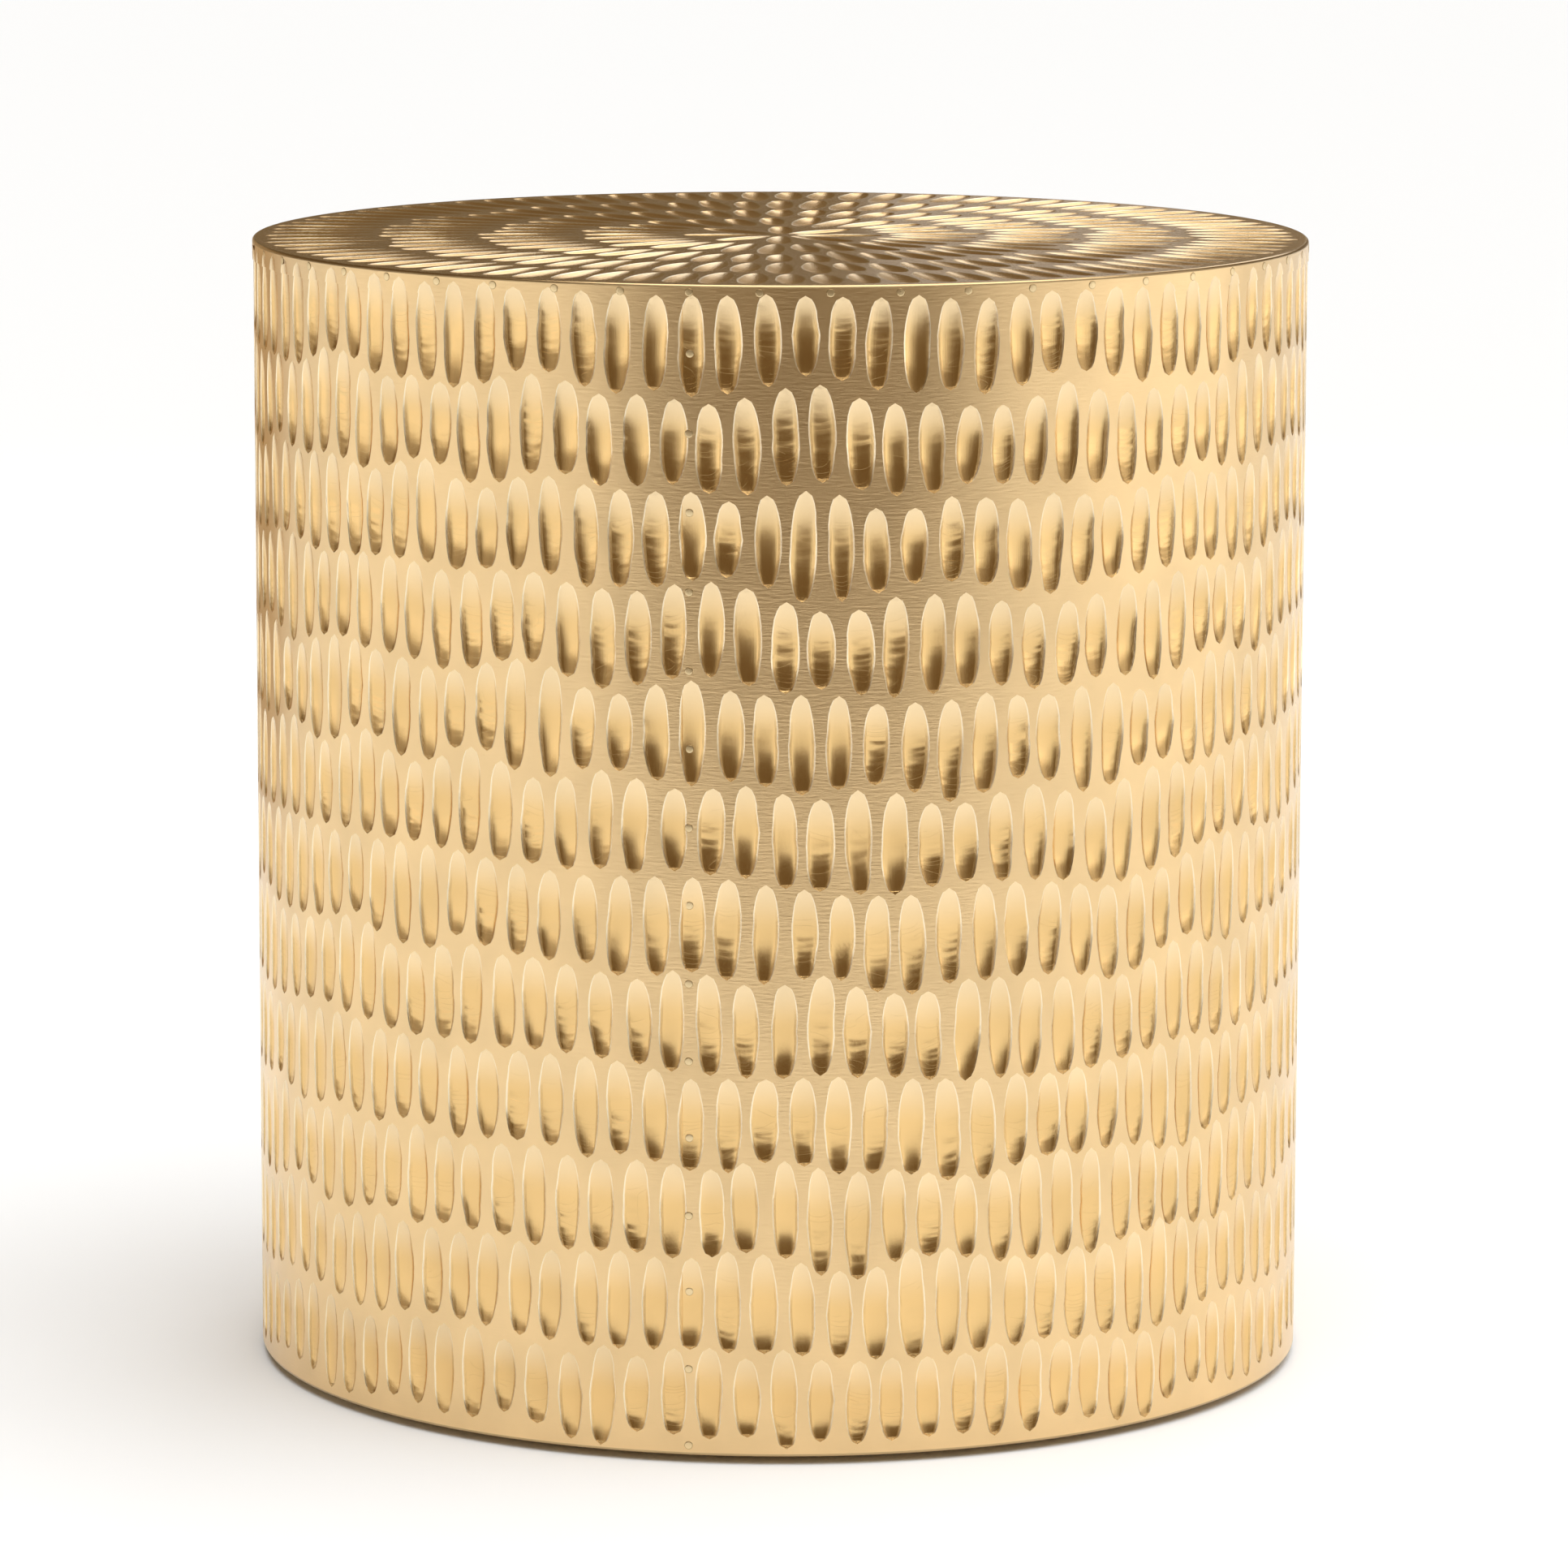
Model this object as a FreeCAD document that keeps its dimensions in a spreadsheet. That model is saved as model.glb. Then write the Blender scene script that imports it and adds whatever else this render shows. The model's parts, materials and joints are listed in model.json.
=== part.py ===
# Drum side table: a plywood drum clad in pinned sheet brass.
# Millimetres, +Z up, origin on the floor under the middle of the drum, front towards -Y.
import FreeCAD, Part
import math
import operator
import os
import Sketcher

HALF_TURN = 180
FULL_TURN = 360
SAME_POINT = 1e-6

# Driving dimensions: millimetres, degrees and counts
DRIVING_DIMENSIONS = {
    "drum_diameter": 420,
    "drum_height": 450,
    "sheet_thickness": 0.4,
    "edge_radius": 1.0,
    "lip_depth": 8,
    "hem_grip": 8,
    "seam_angle": -100,
    "lap_width": 12,
    "joggle_width": 1,
    "wall_thickness": 6,
    "top_board_thickness": 18,
    "base_panel_thickness": 6,
    "hoop_thickness": 15,
    "hoop_web": 25,
    "upright_count": 8,
    "upright_width": 40,
    "upright_depth": 18,
    "notch_clearance": 0.2,
    "pin_head_diameter": 3.2,
    "pin_head_height": 0.5,
    "pin_head_bevel": 0.25,
    "pin_shank_diameter": 1.4,
    "pin_point_length": 1.2,
    "pin_tip_cover": 0.8,
    "rim_pin_count": 50,
    "seam_pin_count": 15,
    "seam_pin_setback": 2.5,
    "seam_pin_top_margin": 18,
    "seam_pin_bottom_margin": 4,
    "hem_pin_count": 24,
    "brad_head_diameter": 2.6,
    "brad_shank_diameter": 1.4,
    "brad_point_length": 1.5,
    "brad_bite": 14,
    "brad_sink": 0.2,
    "screw_head_diameter": 8,
    "screw_shank_diameter": 4,
    "screw_point_length": 5,
    "screw_tip_cover": 4,
    "upright_screw_bite": 26,
    "glide_count": 4,
    "glide_diameter": 24,
    "glide_thickness": 3.5,
    "glide_edge_radius": 1,
    "glide_setback": 8,
    "glide_recess_depth": 1,
    "glide_recess_clearance": 1,
    "nail_head_diameter": 6,
    "nail_shank_diameter": 2.2,
    "nail_point_length": 3,
}

doc = FreeCAD.newDocument("drum_side_table")
sheet = doc.addObject("Spreadsheet::Sheet", "Sizes")
for row, (alias, number) in enumerate(DRIVING_DIMENSIONS.items(), start=1):
    sheet.set(f"A{row}", alias.replace("_", " "))
    sheet.set(f"B{row}", str(number))
    sheet.setAlias(f"B{row}", alias)
doc.recompute()

OPERATIONS = {"+": operator.add, "-": operator.sub, "*": operator.mul, "/": operator.truediv}


class Dimension:
    """A number of the model together with the expression that gives it."""

    def __init__(self, number, text):
        self.number = number
        self.text = text

    def __add__(self, other):
        return combined(self, "+", other)

    def __sub__(self, other):
        return combined(self, "-", other)

    def __mul__(self, other):
        return combined(self, "*", other)

    def __truediv__(self, other):
        return combined(self, "/", other)

    def __neg__(self):
        return Dimension(-self.number, f"(-1 * {self.text})")


def plain(number):
    """A number that no size drives, as a Dimension."""
    return Dimension(number, f"({number})")


def combined(left, sign, right):
    """Two values joined by one arithmetic sign."""
    second = right if isinstance(right, Dimension) else plain(right)
    number = OPERATIONS[sign](left.number, second.number)
    return Dimension(number, f"({left.text} {sign} {second.text})")


def size(alias):
    """A driving dimension, read from its cell."""
    return Dimension(float(sheet.get(alias)), f"Sizes.{alias}")


def arc_degrees(arc_length, radius):
    """The angle that an arc of that length takes up on a radius."""
    turn = arc_length / radius
    return Dimension(math.degrees(turn.number), f"({turn.text} * 180 / pi)")


# Radii, from the rim inwards
axis_line = plain(0)
thickness = size("sheet_thickness")
edge_radius = size("edge_radius")
rim_radius = size("drum_diameter") / 2
sheet_radius = rim_radius - thickness
wall_radius = sheet_radius - thickness
groove_radius = wall_radius - thickness
board_radius = wall_radius - size("wall_thickness")
hoop_width = size("upright_depth") + size("hoop_web")
hoop_middle_radius = board_radius - hoop_width / 2
upright_middle_radius = board_radius - size("upright_depth") / 2
hem_inner_radius = board_radius - size("hem_grip")
hem_pin_radius = board_radius - size("hem_grip") / 2
glide_pitch_radius = hem_inner_radius - size("glide_setback") - size("glide_diameter") / 2
pin_tip_radius = board_radius + size("pin_tip_cover")

# Levels, from the floor upwards
wall_bottom = size("glide_thickness")
hem_bottom = wall_bottom - thickness
lap_bottom = wall_bottom + edge_radius
base_panel_top = wall_bottom + size("base_panel_thickness")
base_hoop_top = base_panel_top + size("hoop_thickness")
table_top = size("drum_height")
wall_top = table_top - thickness
side_sheet_top = wall_top - edge_radius
top_board_bottom = wall_top - size("top_board_thickness")
top_hoop_bottom = top_board_bottom - size("hoop_thickness")
middle_hoop_bottom = (base_hoop_top + top_hoop_bottom - size("hoop_thickness")) / 2
lip_bottom = table_top - size("lip_depth")
rim_pin_height = side_sheet_top - size("pin_head_diameter") / 2
lowest_seam_pin = hem_bottom + size("seam_pin_bottom_margin")
highest_seam_pin = lip_bottom - size("seam_pin_top_margin")

# Angles round the drum
front_seam = size("seam_angle")
back_seam = front_seam + HALF_TURN
lap_angle = arc_degrees(size("lap_width"), wall_radius)
joggle_angle = arc_degrees(size("joggle_width"), wall_radius)
pin_angle = arc_degrees(size("seam_pin_setback"), sheet_radius)
upright_pitch = plain(FULL_TURN) / size("upright_count")
glide_pitch = plain(FULL_TURN) / size("glide_count")
hem_pin_pitch = plain(FULL_TURN) / size("hem_pin_count")
between_uprights = front_seam + upright_pitch / 2
beside_uprights = front_seam + upright_pitch / 4


def bind(item, path, value):
    """Ties a property to a dimension."""
    item.setExpression(path, value.text)


def new_body(label, angle):
    """A body turned about the drum's axis to its place."""
    body = doc.addObject("PartDesign::Body", label)
    body.Label = label
    body.AllowCompound = True
    upright_axis = FreeCAD.Vector(0, 0, 1)
    body.Placement = FreeCAD.Placement(FreeCAD.Vector(), FreeCAD.Rotation(upright_axis, angle.number))
    bind(body, "Placement.Rotation.Angle", angle)
    return body


def origin_part(body, role):
    """One of the body's own origin planes or axes."""
    return next(part for part in body.Origin.OriginFeatures if part.Role == role)


def new_sketch(body, plane, name, **offsets):
    """A sketch on one of the body's planes, moved along its own axes by the offsets."""
    sketch = body.newObject("Sketcher::SketchObject", name)
    sketch.AttachmentSupport = [(origin_part(body, plane), "")]
    sketch.MapMode = "FlatFace"
    for axis, offset in offsets.items():
        bind(sketch, f"AttachmentOffset.Base.{axis}", offset)
    return sketch


def step_signs(start, end):
    """Which way an outline steps along x and along y between two corners."""
    steps = (end[0].number - start[0].number, end[1].number - start[1].number)
    return [0 if abs(step) < SAME_POINT else int(math.copysign(1, step)) for step in steps]


def outline_points(corners):
    """The ends of an outline's edges as (x, y, bend), where bend is the arc that starts there, if one does."""
    points = []
    for index, corner in enumerate(corners):
        x, y = corner[:2]
        if len(corner) == 2:
            points.append((x, y, None))
            continue
        radius = corner[2]
        before = step_signs(corners[index - 1], corner)
        after = step_signs(corner, corners[(index + 1) % len(corners)])
        points.append((x - radius * before[0], y - radius * before[1], corner))
        points.append((x + radius * after[0], y + radius * after[1], None))
    return points


def rounded_edge(start, end, corner):
    """The quarter circle that rounds a square corner between two points."""
    square = FreeCAD.Vector(corner[0].number, corner[1].number, 0)
    centre = start + end - square
    middle = centre + (square - centre).normalize() * corner[2].number
    return Part.Arc(start, middle, end)


def place_point(sketch, edge, end, x, y):
    """Fixes one end of an edge by its distances from the sketch's origin."""
    for kind, value in (("DistanceX", x), ("DistanceY", y)):
        number = sketch.addConstraint(Sketcher.Constraint(kind, -1, 1, edge, end, value.number))
        bind(sketch, f"Constraints[{number}]", value)


def draw_outline(sketch, corners):
    """A closed outline through corners given as (x, y), or as (x, y, radius) where a square corner is rounded."""
    points = outline_points(corners)
    places = [FreeCAD.Vector(x.number, y.number, 0) for x, y, bend in points]
    edges = []
    for index, (x, y, bend) in enumerate(points):
        start = places[index]
        end = places[(index + 1) % len(points)]
        curve = rounded_edge(start, end, bend) if bend else Part.LineSegment(start, end)
        edge = sketch.addGeometry(curve, False)
        first = 1 if sketch.getPoint(edge, 1).isEqual(start, SAME_POINT) else 2
        edges.append((edge, first, 3 - first))
    for index, (x, y, bend) in enumerate(points):
        edge, first, last = edges[index]
        before, before_first, before_last = edges[index - 1]
        sketch.addConstraint(Sketcher.Constraint("Coincident", before, before_last, edge, first))
        place_point(sketch, edge, first, x, y)
        if bend:
            number = sketch.addConstraint(Sketcher.Constraint("Radius", edge, bend[2].number))
            bind(sketch, f"Constraints[{number}]", bend[2])


def block(left, bottom, right, top):
    """The corners of an upright rectangle."""
    return [(left, bottom), (right, bottom), (right, top), (left, top)]


def turned_feature(body, kind, sketch, name, axis="V_Axis"):
    """A revolution or a groove about one axis of its sketch, all the way round until it is told otherwise."""
    feature = body.newObject(kind, name)
    feature.Profile = sketch
    feature.ReferenceAxis = (sketch, [axis])
    feature.Angle = FULL_TURN
    return feature


def turned_body(label, corners, angle=front_seam):
    """A piece turned about the drum's axis from its section."""
    body = new_body(label, angle)
    section = new_sketch(body, "XZ_Plane", f"{label}_section")
    draw_outline(section, corners)
    turned = turned_feature(body, "PartDesign::Revolution", section, f"{label}_turned")
    return body, turned


def two_sided(feature, forward, backward):
    """Turns a feature both ways from its sketch."""
    feature.Type = "TwoAngles"
    bind(feature, "Angle", forward)
    bind(feature, "Angle2", backward)


def repeat_round(body, feature, count):
    """Copies a feature evenly round the drum's axis."""
    pattern = body.newObject("PartDesign::PolarPattern", f"{feature.Name}_ring")
    pattern.Originals = [feature]
    pattern.Axis = (origin_part(body, "Z_Axis"), [""])
    pattern.Angle = FULL_TURN
    bind(pattern, "Occurrences", count)
    body.Tip = pattern


def repeat_up(body, feature, length, count):
    """Copies a feature evenly up the drum's side."""
    pattern = body.newObject("PartDesign::LinearPattern", f"{feature.Name}_row")
    pattern.Originals = [feature]
    pattern.Direction = (origin_part(body, "Z_Axis"), [""])
    bind(pattern, "Length", length)
    bind(pattern, "Occurrences", count)
    body.Tip = pattern


# Fasteners: sections as (distance out from the seat, distance from the fastener's axis)
fasteners = {}
bores = {}


def pin_sections(length):
    """A round-headed pin whose head stands on its seat, and the hole that its shank fills."""
    head = size("pin_head_diameter") / 2
    shank = size("pin_shank_diameter") / 2
    height = size("pin_head_height")
    bevel = size("pin_head_bevel")
    point = [(-length, axis_line), (size("pin_point_length") - length, shank)]
    pin = [
        *point,
        (axis_line, shank),
        (axis_line, head),
        (height - bevel, head),
        (height, head - bevel),
        (height, axis_line),
    ]
    return pin, [*point, (height, shank), (height, axis_line)]


def sunk_sections(kind, length):
    """A screw, brad or nail whose countersunk head is flush with its seat, and the hole that it fills."""
    head = size(f"{kind}_head_diameter") / 2
    shank = size(f"{kind}_shank_diameter") / 2
    point_length = size(f"{kind}_point_length")
    point = [(-length, axis_line), (point_length - length, shank), (shank - head, shank), (axis_line, head)]
    return [*point, (axis_line, axis_line)], [*point, (head, head), (head, axis_line)]


def fastener_body(label, section, facing, radius, height, angle):
    """One fastener or bore on its seat, with its head facing out from the drum, up or down."""
    body = new_body(label, angle)
    sketch = new_sketch(body, "XZ_Plane", f"{label}_section", x=radius, y=height)
    if facing == "out":
        draw_outline(sketch, section)
        return body, turned_feature(body, "PartDesign::Revolution", sketch, f"{label}_one", "H_Axis")
    if facing == "up":
        draw_outline(sketch, [(across, out) for out, across in section])
    else:
        draw_outline(sketch, [(across, -out) for out, across in section])
    return body, turned_feature(body, "PartDesign::Revolution", sketch, f"{label}_one")


def fastener_group(label, sections, facing, radius, height, angle, repeat):
    """A group of like fasteners and the bores that they fill."""
    for kept, name, section in ((fasteners, label, sections[0]), (bores, f"{label}_bores", sections[1])):
        body, one = fastener_body(name, section, facing, radius, height, angle)
        repeat(body, one)
        kept[label] = body


def fastener_ring(label, sections, facing, radius, height, angle, count):
    """A ring of like fasteners round the drum."""
    def repeat(body, one):
        repeat_round(body, one, count)

    fastener_group(label, sections, facing, radius, height, angle, repeat)


def seam_pins(label, angle):
    """The row of pins up a lap seam, just inside the edge of the upper sheet."""
    def repeat(body, one):
        repeat_up(body, one, highest_seam_pin - lowest_seam_pin, size("seam_pin_count"))

    sections = pin_sections(sheet_radius - pin_tip_radius)
    fastener_group(label, sections, "out", sheet_radius, lowest_seam_pin, angle + pin_angle, repeat)


def hoop_brads(label, hoop_bottom):
    """The brads that hold the wall to one hoop, on both sides of every upright."""
    sections = sunk_sections("brad", size("wall_thickness") - size("brad_sink") + size("brad_bite"))
    seat = wall_radius - size("brad_sink")
    height = hoop_bottom + size("hoop_thickness") / 2
    fastener_ring(label, sections, "out", seat, height, beside_uprights, size("upright_count") * 2)


def pierced(label, blank, *through):
    """A piece with the holes that its fasteners fill."""
    holes = doc.addObject("Part::Compound", f"{label}_holes")
    holes.Links = [bores[name] for name in through]
    piece = doc.addObject("Part::Cut", label)
    piece.Label = label
    piece.Base = blank
    piece.Tool = holes
    return piece


hoop_to_upright = size("hoop_thickness") + size("upright_screw_bite")
hoop_to_board = size("hoop_thickness") + size("top_board_thickness") - size("screw_tip_cover")
panel_to_hoop = size("base_panel_thickness") + size("hoop_thickness") - size("screw_tip_cover")
glide_to_hoop = wall_bottom - size("glide_recess_depth") + panel_to_hoop
hem_to_panel = thickness + size("base_panel_thickness") - size("pin_tip_cover")

fastener_ring(
    "rim_pins", pin_sections(rim_radius - pin_tip_radius), "out",
    rim_radius, rim_pin_height, front_seam + pin_angle, size("rim_pin_count"),
)
seam_pins("front_seam_pins", front_seam)
seam_pins("back_seam_pins", back_seam)
fastener_ring(
    "hem_pins", pin_sections(hem_to_panel), "down",
    hem_pin_radius, hem_bottom, front_seam + hem_pin_pitch / 2, size("hem_pin_count"),
)
hoop_brads("top_hoop_brads", top_hoop_bottom)
hoop_brads("middle_hoop_brads", middle_hoop_bottom)
hoop_brads("base_hoop_brads", base_panel_top)
fastener_ring(
    "top_board_screws", sunk_sections("screw", hoop_to_board), "down",
    hoop_middle_radius, top_hoop_bottom, between_uprights, size("upright_count"),
)
fastener_ring(
    "upright_top_screws", sunk_sections("screw", hoop_to_upright), "up",
    upright_middle_radius, top_board_bottom, front_seam, size("upright_count"),
)
fastener_ring(
    "upright_base_screws", sunk_sections("screw", hoop_to_upright), "down",
    upright_middle_radius, base_panel_top, front_seam, size("upright_count"),
)
fastener_ring(
    "base_panel_screws", sunk_sections("screw", panel_to_hoop), "down",
    hoop_middle_radius, wall_bottom, between_uprights, size("upright_count"),
)
fastener_ring(
    "glide_nails", sunk_sections("nail", glide_to_hoop), "down",
    glide_pitch_radius, size("glide_recess_depth"), front_seam + glide_pitch / 2, size("glide_count"),
)


# Brass cladding
def make_top_sheet():
    """The round top with its edge bent down into a lip outside the side sheets."""
    corners = [
        (axis_line, wall_top),
        (sheet_radius, wall_top, edge_radius),
        (sheet_radius, lip_bottom),
        (rim_radius, lip_bottom),
        (rim_radius, table_top, edge_radius + thickness),
        (axis_line, table_top),
    ]
    blank, turned = turned_body("top_sheet_blank", corners)
    return pierced("top_sheet", blank, "rim_pins")


def make_side_sheet(label, seam):
    """Half of the side: it runs clockwise from its seam, and its lap tail goes under the next sheet there."""
    corners = [
        (hem_inner_radius, hem_bottom),
        (sheet_radius, hem_bottom, edge_radius + thickness),
        (sheet_radius, side_sheet_top),
        (wall_radius, side_sheet_top),
        (wall_radius, wall_bottom, edge_radius),
        (hem_inner_radius, wall_bottom),
    ]
    blank, half = turned_body(f"{label}_blank", corners, seam)
    half.Angle = HALF_TURN
    half.Reversed = True
    tail_section = new_sketch(blank, "XZ_Plane", f"{label}_tail_section")
    draw_outline(tail_section, block(groove_radius, lap_bottom, wall_radius, side_sheet_top))
    tail = turned_feature(blank, "PartDesign::Revolution", tail_section, f"{label}_tail")
    two_sided(tail, lap_angle, joggle_angle)
    return pierced(label, blank, "rim_pins", "front_seam_pins", "back_seam_pins", "hem_pins")


# Plywood drum
def make_wall(label, seam):
    """Half of the bent wall, centred on a seam, with a shallow groove for the lap tail."""
    corners = [
        (board_radius, wall_bottom),
        (wall_radius, wall_bottom, edge_radius),
        (wall_radius, wall_top, edge_radius),
        (board_radius, wall_top),
    ]
    blank, half = turned_body(f"{label}_blank", corners, seam)
    half.Angle = HALF_TURN
    half.Midplane = True
    groove_section = new_sketch(blank, "XZ_Plane", f"{label}_groove_section")
    draw_outline(groove_section, block(groove_radius, lap_bottom, rim_radius, side_sheet_top))
    groove = turned_feature(blank, "PartDesign::Groove", groove_section, f"{label}_groove")
    two_sided(groove, lap_angle, joggle_angle)
    pins = ("rim_pins", "front_seam_pins", "back_seam_pins")
    brads = ("top_hoop_brads", "middle_hoop_brads", "base_hoop_brads")
    return pierced(label, blank, *pins, *brads)


def make_disc(label, bottom, top, *through):
    """A round board that fits inside the wall."""
    blank, turned = turned_body(f"{label}_blank", block(axis_line, bottom, board_radius, top))
    return pierced(label, blank, *through)


def hoop_blank(label, bottom):
    """A plain hoop against the inside of the wall."""
    inner_radius = board_radius - hoop_width
    corners = block(inner_radius, bottom, board_radius, bottom + size("hoop_thickness"))
    return turned_body(f"{label}_blank", corners)


def make_plain_hoop(label, bottom, *through):
    """A hoop that the uprights stand on or under."""
    blank, turned = hoop_blank(label, bottom)
    return pierced(label, blank, *through)


def make_middle_hoop():
    """The hoop half way up, notched for the uprights that pass it."""
    blank, turned = hoop_blank("middle_hoop", middle_hoop_bottom)
    notch_sketch = new_sketch(blank, "XY_Plane", "middle_hoop_notch_sketch", z=middle_hoop_bottom)
    half_width = size("upright_width") / 2 + size("notch_clearance")
    notch_floor = board_radius - size("upright_depth") - size("notch_clearance")
    draw_outline(notch_sketch, block(notch_floor, -half_width, rim_radius, half_width))
    notch = blank.newObject("PartDesign::Pocket", "middle_hoop_notch")
    notch.Profile = notch_sketch
    notch.Type = "ThroughAll"
    notch.Midplane = True
    repeat_round(blank, notch, size("upright_count"))
    return pierced("middle_hoop", blank, "middle_hoop_brads")


def upright_sketch(body, name):
    """A post's section: flat towards the middle of the drum, curved to the wall on its back."""
    sketch = new_sketch(body, "XY_Plane", name, z=base_hoop_top)
    half_width = size("upright_width") / 2
    inner = board_radius - size("upright_depth")
    back = math.sqrt(board_radius.number**2 - half_width.number**2)
    left_front = FreeCAD.Vector(inner.number, -half_width.number, 0)
    left_back = FreeCAD.Vector(back, -half_width.number, 0)
    middle_back = FreeCAD.Vector(board_radius.number, 0, 0)
    right_back = FreeCAD.Vector(back, half_width.number, 0)
    right_front = FreeCAD.Vector(inner.number, half_width.number, 0)
    left_side = sketch.addGeometry(Part.LineSegment(left_front, left_back), False)
    curve = sketch.addGeometry(Part.Arc(left_back, middle_back, right_back), False)
    right_side = sketch.addGeometry(Part.LineSegment(right_back, right_front), False)
    front = sketch.addGeometry(Part.LineSegment(right_front, left_front), False)
    loop = [left_side, curve, right_side, front]
    for index, edge in enumerate(loop):
        sketch.addConstraint(Sketcher.Constraint("Coincident", loop[index - 1], 2, edge, 1))
    sketch.addConstraint(Sketcher.Constraint("Coincident", curve, 3, -1, 1))
    sketch.addConstraint(Sketcher.Constraint("Horizontal", left_side))
    sketch.addConstraint(Sketcher.Constraint("Horizontal", right_side))
    number = sketch.addConstraint(Sketcher.Constraint("Radius", curve, board_radius.number))
    bind(sketch, f"Constraints[{number}]", board_radius)
    place_point(sketch, left_side, 1, inner, -half_width)
    place_point(sketch, front, 1, inner, half_width)
    return sketch


def make_upright(index):
    """One post between the base hoop and the top hoop."""
    label = f"upright_{index + 1}"
    blank = new_body(f"{label}_blank", front_seam + upright_pitch * index)
    post = blank.newObject("PartDesign::Pad", f"{label}_post")
    post.Profile = upright_sketch(blank, f"{label}_section")
    bind(post, "Length", top_hoop_bottom - base_hoop_top)
    return pierced(label, blank, "upright_top_screws", "upright_base_screws")


# Feet
def make_glide(index):
    """One round foot with a recess for its nail."""
    label = f"glide_{index + 1}"
    body = new_body(f"{label}_blank", front_seam + glide_pitch / 2 + glide_pitch * index)
    section = new_sketch(body, "XZ_Plane", f"{label}_section", x=glide_pitch_radius)
    recess_radius = size("nail_head_diameter") / 2 + size("glide_recess_clearance")
    glide_radius = size("glide_diameter") / 2
    corners = [
        (axis_line, size("glide_recess_depth")),
        (recess_radius, size("glide_recess_depth")),
        (recess_radius, axis_line),
        (glide_radius, axis_line, size("glide_edge_radius")),
        (glide_radius, wall_bottom),
        (axis_line, wall_bottom),
    ]
    draw_outline(section, corners)
    turned_feature(body, "PartDesign::Revolution", section, f"{label}_turned")
    return pierced(label, body, "glide_nails")


pieces = [
    make_top_sheet(),
    make_side_sheet("side_sheet_left", front_seam),
    make_side_sheet("side_sheet_right", back_seam),
    make_wall("wall_front", front_seam),
    make_wall("wall_back", back_seam),
    make_disc("top_board", top_board_bottom, wall_top, "top_board_screws"),
    make_disc("base_panel", wall_bottom, base_panel_top, "base_panel_screws", "glide_nails", "hem_pins"),
    make_plain_hoop("top_hoop", top_hoop_bottom, "top_board_screws", "upright_top_screws", "top_hoop_brads"),
    make_middle_hoop(),
    make_plain_hoop(
        "base_hoop", base_panel_top,
        "upright_base_screws", "base_panel_screws", "glide_nails", "base_hoop_brads",
    ),
]
pieces += [make_upright(index) for index in range(int(size("upright_count").number))]
pieces += [make_glide(index) for index in range(int(size("glide_count").number))]
doc.recompute()

for item in doc.Objects:
    if "Invalid" in item.State or "Error" in item.State:
        raise RuntimeError(f"{item.Label} could not be built: {item.State}")
for piece in [*pieces, *fasteners.values()]:
    if piece.Shape.isNull() or not piece.Shape.isValid():
        raise RuntimeError(f"{piece.Label} has no sound shape")
for piece in pieces:
    if len(piece.Shape.Solids) != 1:
        raise RuntimeError(f"{piece.Label} came out as {len(piece.Shape.Solids)} solids")
    if piece.Shape.Volume >= piece.Base.Shape.Volume:
        raise RuntimeError(f"{piece.Label} has lost its holes")

os.makedirs("parts", exist_ok=True)
for piece in [*pieces, *fasteners.values()]:
    piece.Shape.exportStep(f"parts/{piece.Label}.step")
    print(piece.Label, len(piece.Shape.Solids), round(piece.Shape.Volume, 1))
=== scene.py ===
"""Dresses the drum side table: beaten brass sheets and their pins over a plywood drum, in a plain studio."""
import json
import math
import random
from functools import partial

import bmesh
import bpy
import numpy as np
from mathutils import Matrix, Vector

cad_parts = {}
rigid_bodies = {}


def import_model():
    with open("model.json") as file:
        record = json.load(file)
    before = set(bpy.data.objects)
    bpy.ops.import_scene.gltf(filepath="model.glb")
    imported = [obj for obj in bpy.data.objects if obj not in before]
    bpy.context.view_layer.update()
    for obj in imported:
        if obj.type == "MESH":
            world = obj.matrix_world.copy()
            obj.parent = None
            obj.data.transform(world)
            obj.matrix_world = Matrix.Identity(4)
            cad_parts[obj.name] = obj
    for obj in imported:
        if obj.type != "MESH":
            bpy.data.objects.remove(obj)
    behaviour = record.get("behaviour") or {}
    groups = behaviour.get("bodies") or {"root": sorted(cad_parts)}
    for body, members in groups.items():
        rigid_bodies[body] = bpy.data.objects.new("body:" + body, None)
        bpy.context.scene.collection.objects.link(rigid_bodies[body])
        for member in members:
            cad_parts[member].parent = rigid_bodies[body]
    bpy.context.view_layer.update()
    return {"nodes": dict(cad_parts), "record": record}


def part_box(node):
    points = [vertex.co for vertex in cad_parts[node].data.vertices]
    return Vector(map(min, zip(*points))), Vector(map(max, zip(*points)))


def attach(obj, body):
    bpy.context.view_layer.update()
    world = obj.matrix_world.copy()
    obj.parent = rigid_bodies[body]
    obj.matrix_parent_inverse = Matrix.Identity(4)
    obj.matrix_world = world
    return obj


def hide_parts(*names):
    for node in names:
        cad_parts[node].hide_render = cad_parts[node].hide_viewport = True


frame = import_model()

bl_info = {
    "name": "Beaten drum table",
    "version": (1, 0, 0),
    "blender": (4, 5, 0),
    "location": "View3D > Sidebar > Drum table",
    "description": "Beats, pins and finishes a brass drum side table around its packed frame",
    "category": "Object",
}

MM = 0.001
FULL_TURN = 2 * math.pi

TOP_LOW, TOP_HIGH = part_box("top_sheet")
LEFT_LOW, LEFT_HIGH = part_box("side_sheet_left")
BOARD_LOW, BOARD_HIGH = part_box("top_board")
WALL_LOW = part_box("wall_front")[0]

# Kinds of face on a beaten sheet
PLAIN, FLAT, HOLLOW, BEND = range(4)

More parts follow.
